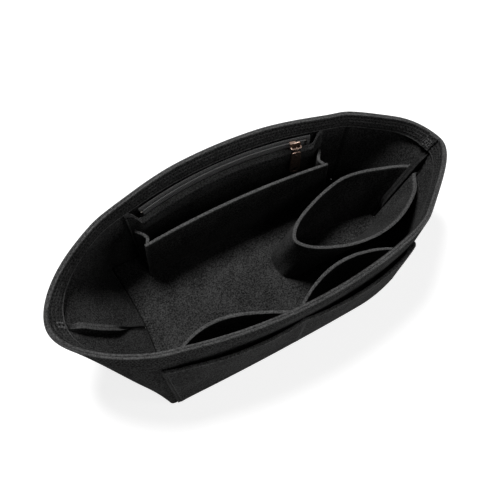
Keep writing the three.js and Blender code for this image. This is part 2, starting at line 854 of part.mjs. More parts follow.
const slider = new THREE.Group();
slider.position.set(0, zipRadius, 0);
zipArm.add(slider);
add(slider, 'zip_slider_body', sliderBody(), metal());
add(slider, 'zip_slider_bridge', sliderBridge(), metal());

const linkFrame = new THREE.Group();
linkFrame.position.set(0, bridgeBar, 0);
slider.add(linkFrame);
add(linkFrame, 'zip_pull_link', link(), metal());

const pullFrame = new THREE.Group();
pullFrame.position.set(0, 0, -pullDrop);
linkFrame.add(pullFrame);
add(pullFrame, 'zip_pull_tab', pullTab(), metal());

export default insert;
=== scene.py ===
"""Dresses the felt organiser insert: felt panels, stitches and the zip, with its floor, light and camera.

Lengths are in millimetres until a mesh is made, and the frame is the CAD model's own.
"""

import math

import bpy
import numpy as np
from mathutils import Matrix, Vector

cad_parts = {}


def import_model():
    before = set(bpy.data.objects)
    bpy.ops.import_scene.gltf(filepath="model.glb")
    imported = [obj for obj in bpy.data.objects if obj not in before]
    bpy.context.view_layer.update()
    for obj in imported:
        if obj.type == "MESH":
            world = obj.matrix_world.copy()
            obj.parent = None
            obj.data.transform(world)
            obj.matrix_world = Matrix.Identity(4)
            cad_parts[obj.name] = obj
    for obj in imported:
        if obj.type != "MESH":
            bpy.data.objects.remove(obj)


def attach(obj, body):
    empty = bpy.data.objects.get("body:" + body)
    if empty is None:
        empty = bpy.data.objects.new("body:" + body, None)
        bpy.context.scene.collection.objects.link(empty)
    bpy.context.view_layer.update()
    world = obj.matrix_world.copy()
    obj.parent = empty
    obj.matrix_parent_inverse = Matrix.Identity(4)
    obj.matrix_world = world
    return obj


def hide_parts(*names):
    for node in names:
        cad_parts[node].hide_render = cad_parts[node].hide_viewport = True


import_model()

MM = 0.001
SMALLEST_SHEET = 0.01

# Felt and fits
FELT = 3.0
CLEARANCE = 0.3
LAYER_GAP = 0.1
SHUT_SEAM_GAP = 0.06

# Body, as in the CAD source
BASE_LENGTH = 250.0
BASE_DEPTH = 150.0
BASE_CORNER_RUN = 13.0
LEFT_CORNER_REACH = 19.0
LEFT_CORNER_RETURN = 2.0
LEFT_CORNER_LEAVE = 0.5
LEFT_CORNER_BULGE = 8.0
RIGHT_END_BOW = 7.0
RIGHT_CORNER_EASE = 10.0
CORNER_EASE_START = 60.0
FRONT_INSET = 2.0
WALL_HEIGHT = 96.0
TIP_DROP = 7.0
LEFT_TIP_REACH = 65.0
RIGHT_TIP_REACH = 59.0
RIM_BOW = 11.0
CREASE_INSET_X = 4.0
CREASE_INSET_Y = 8.0
SEAM_REACH = 8.0
SEAM_RISE = 5.0
BAND_HEIGHT = 13.5
TACK_LENGTH = 15.0
TACK_THICKNESS = 1.5
KNOT_REACH_SHARE = 0.35

# Pockets
OUTER_POCKET_DROP = 24.0
DIVIDER_OFFSET = -8.0
INNER_POCKET_DROP = 26.0
INNER_POCKET_LEFT_END = 112.0
INNER_POCKET_RIGHT_END = 93.0
INNER_POCKET_BULGE = 21.0
LOOP_DROP = 36.0
LOOP_REACH = 138.5
LOOP_BACK_WIDTH = 24.0
LOOP_FRONT_WIDTH = 42.0
FOOT_REACH = 117.0
FOOT_BACK_WIDTH = 12.0
FOOT_FRONT_WIDTH = 20.0
LOOP_SEAM_GAP = 0.8
SLIP_DROP = 35.0
SLIP_FOOT_LAP = 2.0
SLIP_TOP_SETBACK = 2.0
SLIP_FOOT_PLACE = 47.0
SLIP_TOP_PLACE = 44.0
GUSSET_MARGIN = 3.0
GUSSET_INSET = 7.0

# Zip pocket panel, tape, coil and stops
ZIP_PANEL_DROP = 24.0
ZIP_PANEL_MARGIN = 26.0
ZIP_PANEL_END_LENGTH = 11.0
ZIP_PANEL_RISE_LENGTH = 6.0
ZIP_DROP = 19.0
ZIP_RADIUS = 340.0
ZIP_STAND_OFF = 3.2
TAPE_THICKNESS = 0.8
TAPE_DROP = 9.0
TAPE_MARGIN = 13.0
TAPE_LEAN = 1.2
TAPE_LEAN_POWER = 5
COIL_THICKNESS = 1.8
COIL_HEIGHT = 2.8
CHAIN_SLOT = 1.2
COIL_LEFT_MARGIN = 15.0
COIL_RIGHT_MARGIN = 19.0
COIL_PITCH = 1.27
COIL_WIRE = 0.34
STOP_LENGTH = 2.0
STOP_PROUD = 0.3

# Slider, link and pull
SLIDER_MARGIN = 28.0
SLIDER_LENGTH = 11.0
SLIDER_HALF_HEIGHT = 4.6
SLIDER_WAIST_HALF_HEIGHT = 3.9
BACK_PLATE_SHARE = 0.84
PLATE_THICKNESS = 1.2
RAIL_THICKNESS = 0.4
RAIL_LENGTH = 6.0
WEB_HEIGHT = 0.6
WEB_LENGTH = 5.0
BRIDGE_LENGTH = 10.6
BRIDGE_WIDTH = 1.6
BRIDGE_RISE = 4.2
BRIDGE_STRIP = 1.2
LINK_WIRE = 0.9
LINK_RADIUS = 1.65
LINK_LENGTH = 8.6
PULL_LENGTH = 30.5
PULL_TOP_WIDTH = 9.0
PULL_END_WIDTH = 11.0
PULL_THICKNESS = 1.5
PULL_EYE_MARGIN = 1.4
PULL_HOLE_DIAMETER = 5.6
PULL_HOLE_MARGIN = 2.2
METAL_ROUND = 0.3

# Shares that shape the body
SIDE_SHARE = 0.56
CORNER_SHARE = 0.64
RIM_ROUND_SHARE = 0.05
LEFT_RIM_SHARES = (0.55, 0.26, 0.36)
RIGHT_RIM_SHARES = (0.47, 0.31, 0.27)
STEP_SHARE = 0.004
ZIP_PANEL_LEAN_SHARE = 0.85
POCKET_FOOT_SHARE = 0.3
LEFT_POCKET_PEAK_SHARE = 0.6
RIGHT_POCKET_PEAK_SHARE = 0.52
POCKET_FULL_SHARE = 0.65
OUTER_POCKET_PEAK_SHARE = 0.5
SLIDER_NOSE_SHARE = 0.35
LOOP_TOP_SHARES = (
    (0.06, 0.3), (0.2, 0.62), (0.34, 0.9), (0.46, 1), (0.6, 0.86), (0.76, 0.55), (0.9, 0.16),
    (0.98, -0.14), (1, -0.32), (0.95, -0.55), (0.82, -0.8), (0.65, -0.97), (0.49, -1),
    (0.33, -0.9), (0.2, -0.7), (0.1, -0.45),
)
LOOP_FOOT_SHARES = (
    (0.1, 0.72), (0.25, 0.8), (0.4, 0.88), (0.55, 0.95), (0.72, 1), (0.9, 1), (0.98, 0.8),
    (1, 0.3), (1, -0.3), (0.98, -0.8), (0.9, -1), (0.72, -1), (0.55, -0.95),
    (0.4, -0.88), (0.25, -0.75), (0.1, -0.55),
)
GUSSET_SHARES = ((0, 0), (0, 0.06), (0.4, 0.28), (0.8, 0.5), (1, 0.72), (0.75, 0.93), (0.75, 1))

# How the used felt differs from the plain shape, as far as the photo shows it
FRONT_LEFT_SWELL = -1.8
FRONT_RIGHT_SWELL = -2.5
BACK_LEFT_SWELL = 1.5
BACK_RIGHT_SWELL = 5.0
BACK_MIDDLE_SWELL = 3.5
BACK_MIDDLE_BREADTH = 1.5
BACK_MIDDLE_POWER = 5
SWELL_START_SHARE = 0.45
BACK_RIGHT_START_SHARE = 0.7
LOW_SWELL_UP = 0.4
HIGH_SWELL_SHARE = 0.0
RIM_SQUEEZE = 1.0
RIM_SQUEEZE_RUN = 9.0
LEFT_FLAP_START = 9.0
LEFT_FLAP_TAPER = 42.0
RIGHT_FLAP_START = 0.0
RIGHT_FLAP_TAPER = 30.0
# How strongly painted shade darkens the right seam's standing flap
FLAP_PAINTED_SHADE = 0.65
SEAM_OPENING = 0.55
CORNER_FOLD_PRESS = 0.8
CORNER_FOLD_HALF_WIDTH = 3.0
LEFT_SEAM_BOW = -5.0
LEFT_TIP_SHIFT = -2.5
RIGHT_TIP_SHIFT = 2.5
RIGHT_TIP_STRETCH = 2.5
SETTLE_START = 100.0
SETTLE_RUN = 50.0
BASE_TURN = 2.2
BASE_FRONT_BOW = -1.8
BASE_TURN_START = 30.0
BASE_TURN_RUN = 40.0
POCKET_GAPE = 4.0
POCKET_END_RISE = 3.5
POCKET_RIGHT_SHARE = 0.54
POCKET_PRESS = 2.1
POCKET_CORNER_ROUND = 5.0
POCKET_EDGE_STEPS = (0.0, 0.8, 1.8, 3.0, 4.4)
POCKET_PRESS_RUN = 5.0
SLIP_TOP_BOW = 6.0
SLIP_FOOT_BOW = 1.5
ZIP_PANEL_FLARE = 2.2
ZIP_PANEL_FLARE_DROP = 6.0
ZIP_PANEL_FLARE_RUN = 20.0
ZIP_PANEL_PRESS = 1.5
ZIP_PANEL_HEM = 5.2
HEM_DROPS = (5.7, 5.2, 4.7, 4.2, 3.2, 2.2, 1.1, 0.0)
# How many top rows of the zip panel carry a painted highlight
HEM_LIT_ROWS = 4
FLOOR_EDGE_DROP = 1.8
FLOOR_SIDE_GAP = 0.8

# Mesh density and the roundness of a cut edge
GRAIN = 2.0
EDGE_ROUND = 0.7
EDGE_STEPS = 6
EDGE_SQUARE_SHARE = 0.45
RIM_EDGE_SHARE = 0.8
# Painted highlight: how light the lit rows are, and the heights of the extra lit rows at the band's foot
LIT_SHARE = 0.8
LIT_ROW_HEIGHTS = (0.5, 1.1)

BASE_RING_SHARES = (0.02, 0.2, 0.4, 0.6, 0.8, 0.92, 0.97, 0.98, 0.988, 0.995)
BASE_DROP_START_SHARE = 0.98
FLAT_RING_COUNT = 8
BASE_EDGE_SHARES = (0.1, 0.35, 0.65, 0.9)
SQUARE_CORNERS = ((-1, -1), (1, -1), (1, 1), (-1, 1))
TINY_LENGTH = 1e-9
SMALLEST_KNOT = 1e-4
FINE_SHARE_COUNT = 2000
SPACING_UP_SHARE = 0.7
CURVE_STEPS = 24
EDGE_TRIM_SHARE = 0.45
FACE_RIM_SHARE = 0.6
TUBE_GUIDE = (0.37, 0.24, 0.9)
TACK_STATIONS = 14
GUSSET_STATIONS = 16
LOOP_RUN_SHARE = 2.2
ZIP_PANEL_ROWS = 36
ARCH_STEPS = 14
NOSE_STEPS = 12
PLATE_EDGE_STEPS = 3
BOX_ROUND_SHARE = 0.3
COIL_TURN_STEPS = 12
COIL_SIDES = 6
STOP_STEPS = 5
RING_STEPS = 16
RING_SIDES = 12
TAB_END_STEPS = 30
TAB_CORNER_STEPS = 8
TAB_HOLE_STEPS = 33
SHARP_ANGLE = 40

# Thread
STITCH_PITCH = 3.1
STITCH_LENGTH = 2.5
THREAD_RADIUS = 0.33
CROSS_RADIUS = 0.55
STITCH_SINK = 0.25
GROOVE_DEPTH = 0.55
GROOVE_HALF_WIDTH = 1.0
GROOVE_CLEAR_SHARE = 1.5
GROOVE_STEP_SHARES = (-1, -0.5, 0, 0.5, 1)
RIM_ROW_DROPS = (2.6, 5.4, 8.2, 11.2)
POCKET_ROW_INSETS = (2.2, 6.0)
POCKET_ROW_END_SHARE = 0.03
DIVIDER_ROW_HALF_GAP = 0.8
PANEL_ROW_DROP = 2.6
STITCH_SIDES = 6
STITCH_LOOK = 0.2
CROSS_ROW_POINTS = 12
UPRIGHT_ROW_POINTS = 40
ZIP_ROW_POINTS = 160
ZIP_SIDE_ROW_POINTS = 60
FLAP_STEPS = (0.0, 3.4, 5.2, 7.0, 8.6, 9.8)

# Each section of a stitch: along its length, how far it rises, and its girth
STITCH_SECTIONS = (
    (-1, -1, 0.4), (-0.8, 0.2, 0.9), (-0.35, 0.9, 1), (0.35, 0.9, 1), (0.8, 0.2, 0.9), (1, -1, 0.4),
)

# Each crossed stitch: from along, from up, to along, to up
TACK_CROSSES = (
    (0.1, 0.15, 0.9, 0.5), (0.9, 0.15, 0.1, 0.5), (0.1, 0.5, 0.9, 0.85), (0.9, 0.5, 0.1, 0.85),
    (0.5, 0.1, 0.5, 0.9),
)
KNOT_CROSSES = (
    (0.0, 0.1, 1.0, 0.4), (0.0, 0.4, 1.0, 0.1), (0.0, 0.45, 1.0, 0.8), (0.0, 0.8, 1.0, 0.45),
    (0.0, 0.25, 1.0, 0.6),
)

# Colours, grain and relief. Scales are per metre and reliefs are in millimetres.
FELT_DARK = 0.005
FELT_LIGHT = 0.052
FELT_MIDDLE_DIVISOR = 2.4
FELT_STOPS = (0.42, 0.49, 0.57)
FELT_RELIEF = 0.9
CUT_DARK = 0.03
CUT_LIGHT = 0.12
CUT_STOPS = (0.41, 0.5, 0.59)
# Painted light: the base's felt is the same felt made lighter
FLOOR_PAINTED_LIGHT_SHARE = 1.15
# Painted shade: the near-black grey, and how strongly it darkens stitch grooves, the corner fold and the
# seams
PAINTED_SHADE_GREY = 0.0015
ROW_PAINTED_SHADE = 1.0
FOLD_PAINTED_SHADE = 0.6
SEAM_PAINTED_SHADE = 0.7
FIBRE_SCALE = 1300.0
FIBRE_SHARE = 0.4
TUFT_SCALE = 750.0
TUFT_SHARE = 0.6
PATCH_SCALE = 45.0
PATCH_SHARE = 0.12
GRAIN_SHARE = 0.88
THREAD_DARK = 0.003
THREAD_LIGHT = 0.012
WORN_DARK = 0.03
WORN_LIGHT = 0.12
THREAD_STOPS = (0.35, 0.65)
THREAD_RELIEF = 0.1
TWIST_SCALE = 2600.0
TAPE_DARK = 0.03
TAPE_LIGHT = 0.11
TAPE_STOPS = (0.3, 0.75)
TAPE_RELIEF = 0.15
WARP_SCALE = 9000.0
WEFT_SCALE = 11000.0
WEFT_LEAN_SHARE = 0.5
WEAVE_SHARE = 0.18
TAPE_PATCH_SCALE = 900.0
COIL_DARK = 0.08
COIL_LIGHT = 0.2
COIL_SHINY = 0.32
COIL_MATT = 0.5
COIL_STOPS = (0.3, 0.7)
STREAK_SCALE = 1800.0
METAL_DARK = (0.12, 0.072, 0.055)
METAL_MAIN = (0.36, 0.265, 0.22)
STOP_DARK = (0.01, 0.01, 0.01)
STOP_MAIN = (0.05, 0.045, 0.04)
METAL_MATT = 0.5
METAL_SHINY = 0.24
METAL_COLOUR_STOPS = (0.3, 0.62)
METAL_ROUGH_STOPS = (0.3, 0.7)
METAL_RELIEF = 0.05
CLOUD_SCALE = 500.0
SCRATCH_SCALE = 6000.0
SCRATCH_STRETCH_SHARE = 0.06

# Floor, world and lights, in metres. Each light: name, place, size and watts.
FLOOR_HALF = 3.0
FLOOR_DROP = 0.0002
FLOOR_GREY = 0.5
FLOOR_GLOW = 0.8
WORLD_STRENGTH = 0.02
GLOSSY_SHARE = 0.3
AIM = (0.0, 0.0, 0.04)
LIGHTS = (
    ("back_key", (-0.08, 0.6, 1.5), 0.55, 26.0),
    ("side_light", (1.27, -0.93, 0.32), 0.5, 7.0),
    ("front_fill", (0.33, -1.02, 1.23), 0.5, 1.5),
    ("low_front", (-0.4, -1.35, 0.3), 0.5, 3.0),
)

# Camera, fitted to the photograph
CAMERA_PLACE = (-121.54, -200.67, 482.12)
CAMERA_YAW = math.radians(28.24)
CAMERA_PITCH = math.radians(61.08)
FOCAL_PIXELS = 549.0
PHOTO_WIDTH = 500.0
SENSOR_WIDTH = 36.0
CLIP_START = 0.01
CLIP_END = 50

HALF_LENGTH = BASE_LENGTH / 2
HALF_DEPTH = BASE_DEPTH / 2
FRONT_DEPTH_SHARE = (HALF_DEPTH - FRONT_INSET) / HALF_DEPTH
CREASE = np.array([HALF_LENGTH - CREASE_INSET_X, HALF_DEPTH - CREASE_INSET_Y])
RIM_MID = HALF_DEPTH + RIM_BOW
HALF_SEAM = SHUT_SEAM_GAP / 2
FLOOR_TOP = FELT + CLEARANCE
BAND_FOOT = WALL_HEIGHT - BAND_HEIGHT
BASE_SIDE_END = HALF_LENGTH - BASE_CORNER_RUN
SHARE_STEP = SIDE_SHARE / BASE_SIDE_END
EASE_RUN = BASE_SIDE_END - CORNER_EASE_START
OUTER_POCKET_HEIGHT = WALL_HEIGHT - OUTER_POCKET_DROP
INNER_POCKET_HEIGHT = WALL_HEIGHT - INNER_POCKET_DROP
LOOP_HEIGHT = WALL_HEIGHT - LOOP_DROP
SLIP_HEIGHT = WALL_HEIGHT - SLIP_DROP
ZIP_PANEL_HEIGHT = WALL_HEIGHT - ZIP_PANEL_DROP
ZIP_HEIGHT = WALL_HEIGHT - ZIP_DROP
ZIP_PANEL_HALF_LENGTH = HALF_LENGTH - ZIP_PANEL_MARGIN
GUSSET_PLACE = ZIP_PANEL_HALF_LENGTH - GUSSET_MARGIN
SLIP_FOOT_HALF_LENGTH = GUSSET_PLACE + SLIP_FOOT_LAP
SLIP_TOP_HALF_LENGTH = GUSSET_PLACE - SLIP_TOP_SETBACK
TAPE_HALF_LENGTH = ZIP_PANEL_HALF_LENGTH - TAPE_MARGIN
COIL_LEFT_END = ZIP_PANEL_HALF_LENGTH - COIL_LEFT_MARGIN
COIL_RIGHT_END = ZIP_PANEL_HALF_LENGTH - COIL_RIGHT_MARGIN
SLIDER_PLACE = ZIP_PANEL_HALF_LENGTH - SLIDER_MARGIN


# Small helpers


def smooth(share):
    k = np.clip(share, 0, 1)
    return k * k * (3 - 2 * k)


def unit(vectors):
    return vectors / np.maximum(np.linalg.norm(vectors, axis=-1, keepdims=True), TINY_LENGTH)


def mix(a, b, share):
    return a + (b - a) * share


def running_length(line):
    steps = np.linalg.norm(np.diff(line, axis=0), axis=-1)
    return np.concatenate([[0], np.cumsum(steps)])


def bezier(controls, t):
    points = [np.broadcast_to(np.asarray(p, float), (*np.shape(t), 2)) for p in controls]
    k = np.asarray(t, float)[..., None]
    while len(points) > 1:
        points = [mix(a, b, k) for a, b in zip(points, points[1:])]
    return points[0]


def smooth_curve(points, count):
    """A centripetal curve through the points, as count evenly spaced points."""
    p = np.asarray(points, float)
    p = np.vstack([2 * p[0] - p[1], p, 2 * p[-1] - p[-2]])
    knots = np.maximum(np.linalg.norm(np.diff(p, axis=0), axis=1) ** 0.5, SMALLEST_KNOT)
    t = np.linspace(0, 1, CURVE_STEPS, endpoint=False)[:, None]
    pieces = []
    for i in range(1, len(p) - 2):
        a, b, c = knots[i - 1], knots[i], knots[i + 1]
        leave = ((p[i] - p[i - 1]) / a - (p[i + 1] - p[i - 1]) / (a + b) + (p[i + 1] - p[i]) / b) * b
        arrive = ((p[i + 1] - p[i]) / b - (p[i + 2] - p[i]) / (b + c) + (p[i + 2] - p[i + 1]) / c) * b
        c2 = -3 * p[i] + 3 * p[i + 1] - 2 * leave - arrive
        c3 = 2 * p[i] - 2 * p[i + 1] + leave + arrive
        pieces.append(p[i] + leave * t + c2 * t**2 + c3 * t**3)
    line = np.vstack([*pieces, p[-2]])
    run = running_length(line)
    wanted = np.linspace(0, run[-1], count)
    return np.stack([np.interp(wanted, run, line[:, k]) for k in range(line.shape[1])], -1)


# The wall's outer face


def base_side_point(k, ease):
    x = BASE_SIDE_END * np.asarray(k, float)
    past = np.maximum(x - CORNER_EASE_START, 0) / EASE_RUN
    return np.stack([x, HALF_DEPTH - ease * past**2], -1)


RIM_SAG = RIM_MID - CREASE[1]
RIM_RADIUS = (CREASE[0] ** 2 + RIM_SAG**2) / (2 * RIM_SAG)


def rim_side_point(k):
    x = CREASE[0] * np.asarray(k, float)
    return np.stack([x, RIM_MID - RIM_RADIUS + np.sqrt(RIM_RADIUS**2 - x**2)], -1)


def end_curves(tip_reach, end_bow, ease, corner, rim_shares):
    leave_x, leave_y, tip_share = rim_shares
    tip = np.array([HALF_LENGTH + tip_reach, 0])
    rim_end = [
        CREASE,
        (CREASE[0] + leave_x * (tip[0] - CREASE[0]), CREASE[1] * (1 - leave_y)),
        (tip[0], CREASE[1] * tip_share),
        tip,
    ]
    return {
        "tip": tip,
        "ease": ease,
        "base": [base_side_point(1, ease), *corner, (HALF_LENGTH + end_bow, 0)],
        "rim": rim_end,
        "corner": [rim_side_point(1 - RIM_ROUND_SHARE), CREASE, bezier(rim_end, RIM_ROUND_SHARE)],
    }


def left_end():
    corner = [
        (HALF_LENGTH + LEFT_CORNER_REACH, HALF_DEPTH + LEFT_CORNER_LEAVE),
        (HALF_LENGTH + LEFT_CORNER_RETURN, HALF_DEPTH + LEFT_CORNER_BULGE),
    ]
    return end_curves(LEFT_TIP_REACH, 0, 0, corner, LEFT_RIM_SHARES)


def right_end():
    start = base_side_point(1, RIGHT_CORNER_EASE)
    slope = 2 * RIGHT_CORNER_EASE / EASE_RUN
    corner = [
        (x, start[1] - slope * (x - start[0])) for x in (HALF_LENGTH, HALF_LENGTH + RIGHT_END_BOW)
    ]
    return end_curves(RIGHT_TIP_REACH, RIGHT_END_BOW, RIGHT_CORNER_EASE, corner, RIGHT_RIM_SHARES)


LEFT_END = left_end()
RIGHT_END = right_end()


def base_point(end, size):
    side = base_side_point(np.minimum(size / SIDE_SHARE, 1), end["ease"])
    rest = bezier(end["base"], np.clip((size - SIDE_SHARE) / (1 - SIDE_SHARE), 0, 1))
    return np.where((size <= SIDE_SHARE)[..., None], side, rest)


def rim_point(end, size):
    side = rim_side_point(np.minimum(size / SIDE_SHARE, 1) * (1 - RIM_ROUND_SHARE))
    corner = bezier(end["corner"], np.clip((size - SIDE_SHARE) / (CORNER_SHARE - SIDE_SHARE), 0, 1))
    k = np.clip((size - CORNER_SHARE) / (1 - CORNER_SHARE), 0, 1)
    rest = bezier(end["rim"], RIM_ROUND_SHARE + (1 - RIM_ROUND_SHARE) * k)
    late = np.where((size <= CORNER_SHARE)[..., None], corner, rest)
    return np.where((size <= SIDE_SHARE)[..., None], side, late)


def rim_height(size):
    return WALL_HEIGHT - TIP_DROP * smooth((size - CORNER_SHARE) / (1 - CORNER_SHARE))


def quarter_swell(right, back, size, up):
    """How far the used felt swells past its plain shape, away from the middle of the insert."""
    start = np.where(back & right, BACK_RIGHT_START_SHARE, SWELL_START_SHARE)
    along = np.clip((size - start) / (1 - start), 0, 1)
    hump = np.sin(math.pi * along) ** 2
    low = smooth(up / LOW_SWELL_UP)
    high = smooth((up - LOW_SWELL_UP) / (1 - LOW_SWELL_UP))
    front_left = FRONT_LEFT_SWELL * low * mix(1, HIGH_SWELL_SHARE, high)
    front = np.where(right, FRONT_RIGHT_SWELL * up, front_left)
    back_end = np.where(right, BACK_RIGHT_SWELL, BACK_LEFT_SWELL) * up
    breadth = smooth(BACK_MIDDLE_BREADTH * (1 - size / SIDE_SHARE))
    middle = BACK_MIDDLE_SWELL * breadth * up**BACK_MIDDLE_POWER
    return np.where(back, hump * back_end + middle, hump * front)


def outer_point(side, share, up):
    share, up = np.broadcast_arrays(np.asarray(share, float), np.asarray(up, float))
    past = np.abs(share) > 1
    size = np.where(past, 2 - np.abs(share), np.abs(share))
    plans = [mix(base_point(end, size), rim_point(end, size), up[..., None]) for end in (LEFT_END, RIGHT_END)]
    plan = np.where((share < 0)[..., None], *plans)
    shown_side = np.where(past, -side, side)
    depth_share = np.where(shown_side > 0, 1, FRONT_DEPTH_SHARE)
    swell = quarter_swell(share > 0, shown_side > 0, size, up)
    y = shown_side * (depth_share * plan[..., 1] + swell)
    return np.stack([np.sign(share) * plan[..., 0], y, up * rim_height(size)], -1)


def wall_inward(side, share, up):
    share = np.asarray(share, float)
    along = outer_point(side, share + STEP_SHARE, up) - outer_point(side, share - STEP_SHARE, up)
    rise = outer_point(side, share, 1) - outer_point(side, share, 0)
    return side * unit(np.cross(along, rise))


def wall(side, share, up, depth):
    """A point at a depth inside the wall's outer face."""
    depth = np.asarray(depth, float)[..., None]
    return outer_point(side, share, up) + wall_inward(side, share, up) * depth


def keep_off_seam(points, side):
    points[..., 1] = side * np.maximum(side * points[..., 1], HALF_SEAM)
    return points


def share_at_x(x):
    return x / BASE_SIDE_END * SIDE_SHARE


def up_at(height):
    return np.asarray(height, float) / WALL_HEIGHT


def even_shares(side, start, stop, spacing=GRAIN):
    """Shares from start to stop whose points are evenly spaced along the wall."""
    fine = np.linspace(start, stop, FINE_SHARE_COUNT)
    run = running_length(outer_point(side, fine, SPACING_UP_SHARE))
    count = max(2, round(run[-1] / spacing))
    return np.interp(np.linspace(0, run[-1], count + 1), run, fine)


def even_steps(start, stop, spacing=GRAIN):
    return np.linspace(start, stop, max(2, round(abs(stop - start) / spacing)) + 1)


def with_grooves(steps, grooves):
    """Adds steps beside and at each groove, so that it can be pressed into the felt."""
    steps = [s for s in steps if all(abs(s - g) > GROOVE_HALF_WIDTH * GROOVE_CLEAR_SHARE for g in grooves)]
    offsets = np.array(GROOVE_STEP_SHARES) * GROOVE_HALF_WIDTH
    return np.sort(np.concatenate([steps, *[g + offsets for g in grooves]]))


def groove(steps, grooves):
    """How deep the felt is pressed in at each step."""
    deep = np.zeros(np.shape(steps))
    for place in grooves:
        away = np.abs(np.asarray(steps) - place) / GROOVE_HALF_WIDTH
        deep = np.maximum(deep, GROOVE_DEPTH * (1 - smooth(away)))
    return deep


def settled(points):
    """Points moved by the few millimetres by which the used felt has settled out of its plain shape."""
    points = np.array(points, float)
    x, y, z = np.moveaxis(points, -1, 0)
    up = np.clip(z / WALL_HEIGHT, 0, 1)
    left = smooth((-x - SETTLE_START) / SETTLE_RUN)
    right = smooth((x - SETTLE_START) / SETTLE_RUN)
    front = smooth((-y - BASE_TURN_START) / BASE_TURN_RUN)
    bow = np.sin(math.pi * up) ** 2
    move = left * (LEFT_TIP_SHIFT * up + LEFT_SEAM_BOW * bow) + right * RIGHT_TIP_SHIFT * up
    along = np.clip(x / HALF_LENGTH, -1, 1)
    low_front = BASE_TURN * x / HALF_LENGTH + BASE_FRONT_BOW * (1 - along**2)
    points[..., 1] = y + move + low_front * front * (1 - up)
    points[..., 0] = x + right * RIGHT_TIP_STRETCH * up
    return points


# Meshes


def new_object(name, points, faces, material):
    mesh = bpy.data.meshes.new(name)
    mesh.from_pydata((np.asarray(points) * MM).tolist(), [], [list(face) for face in faces])
    mesh.polygons.foreach_set("use_smooth", [True] * len(mesh.polygons))
    mesh.materials.append(material)
    mesh.update()
    made = bpy.data.objects.new(name, mesh)
    bpy.context.scene.collection.objects.link(made)
    return made


def set_point_value(made, name, values):
    attribute = made.data.attributes.new(name, "FLOAT", "POINT")
    attribute.data.foreach_set("value", np.asarray(values, np.float32))


def turned_out(points, faces):
    corners = points[faces]
    fans = np.cross(corners[:, 1] - corners[:, 0], corners[:, 2] - corners[:, 0])
    fans += np.cross(corners[:, 2] - corners[:, 0], corners[:, 3] - corners[:, 0])
    volume = np.sum(corners[:, 0] * fans)
    return faces if volume > 0 else faces[:, ::-1]


def grid_faces(ids):
    return np.stack([ids[:-1, :-1], ids[:-1, 1:], ids[1:, 1:], ids[1:, :-1]], -1).reshape(-1, 4)


def rim_order(rows, stations):
    """Row and station of each point round the edge of a grid."""
    r, s = np.arange(rows), np.arange(stations)
    row = np.concatenate([np.zeros(stations - 1), r[:-1], np.full(stations - 1, rows - 1), r[:0:-1]])
    station = np.concatenate([s[:-1], np.full(rows - 1, stations - 1), s[:0:-1], np.zeros(rows - 1)])
    return row.astype(int), station.astype(int)


def edge_outward(middle):
    """At each edge point of a grid, the way out of the sheet and the room before the next point."""
    out = np.zeros_like(middle)
    room = np.full(middle.shape[:2], np.inf)
    views = [
        ((0, slice(None)), (1, slice(None))),
        ((-1, slice(None)), (-2, slice(None))),
        ((slice(None), 0), (slice(None), 1)),
        ((slice(None), -1), (slice(None), -2)),
    ]
    for edge, inner in views:
        step = middle[edge] - middle[inner]
        out[edge] += unit(step)
        room[edge] = np.minimum(room[edge], np.linalg.norm(step, axis=-1))
    return unit(out), room


def slab(near, far):
    """A closed sheet between two grids of points, with rounded edges. Returns its points, faces and
    how much each point belongs to the cut edge."""
    rows, stations = near.shape[:2]
    middle = (near + far) / 2
    out, room = edge_outward(middle)
    row, station = rim_order(rows, stations)
    near_edge, far_edge = near[row, station].copy(), far[row, station].copy()
    outward = out[row, station]
    trim = np.minimum(EDGE_ROUND, room[row, station] * EDGE_TRIM_SHARE)[:, None]
    near, far = near.copy(), far.copy()
    near[row, station] -= outward * trim
    far[row, station] -= outward * trim
    count = rows * stations
    ids = np.arange(count).reshape(rows, stations)
    rings = []
    for k in range(1, EDGE_STEPS):
        angle = math.pi * k / EDGE_STEPS
        reach = math.sin(angle) ** EDGE_SQUARE_SHARE
        turn = math.cos(angle)
        depth_share = (1 - math.copysign(abs(turn) ** EDGE_SQUARE_SHARE, turn)) / 2
        rings.append(mix(near_edge, far_edge, depth_share) + outward * trim * (reach - 1))
    points = np.vstack([near.reshape(-1, 3), far.reshape(-1, 3), *rings])
    round_ids = len(row)
    loops = [ids[row, station]]
    loops += [2 * count + k * round_ids + np.arange(round_ids) for k in range(EDGE_STEPS - 1)]
    loops += [ids[row, station] + count]
    faces = [grid_faces(ids), grid_faces(ids + count)[:, ::-1]]
    for a, b in zip(loops, loops[1:]):
        faces.append(np.stack([a, b, np.roll(b, -1), np.roll(a, -1)], -1))
    faces = np.vstack(faces)
    cut = np.zeros(len(points))
    cut[2 * count :] = 1
    cut[loops[0]] = FACE_RIM_SHARE
    cut[loops[-1]] = FACE_RIM_SHARE
    return points, turned_out(points, faces), cut


def flat_size(near, far):
    """Height, length and area of the flat felt that a panel was cut from."""
    middle = (near + far) / 2
    across = np.linalg.norm(np.diff(middle, axis=0), axis=-1).sum(0)
    along = np.linalg.norm(np.diff(middle, axis=1), axis=-1).sum(1)
    a = middle[1:, 1:] - middle[:-1, :-1]
    b = middle[1:, :-1] - middle[:-1, 1:]
    area = np.linalg.norm(np.cross(a, b), axis=-1).sum() / 2
    return across.max() * MM, along.max() * MM, area * MM * MM


def stand_for(made, body, node):
    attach(made, body)
    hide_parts(node)
    return made


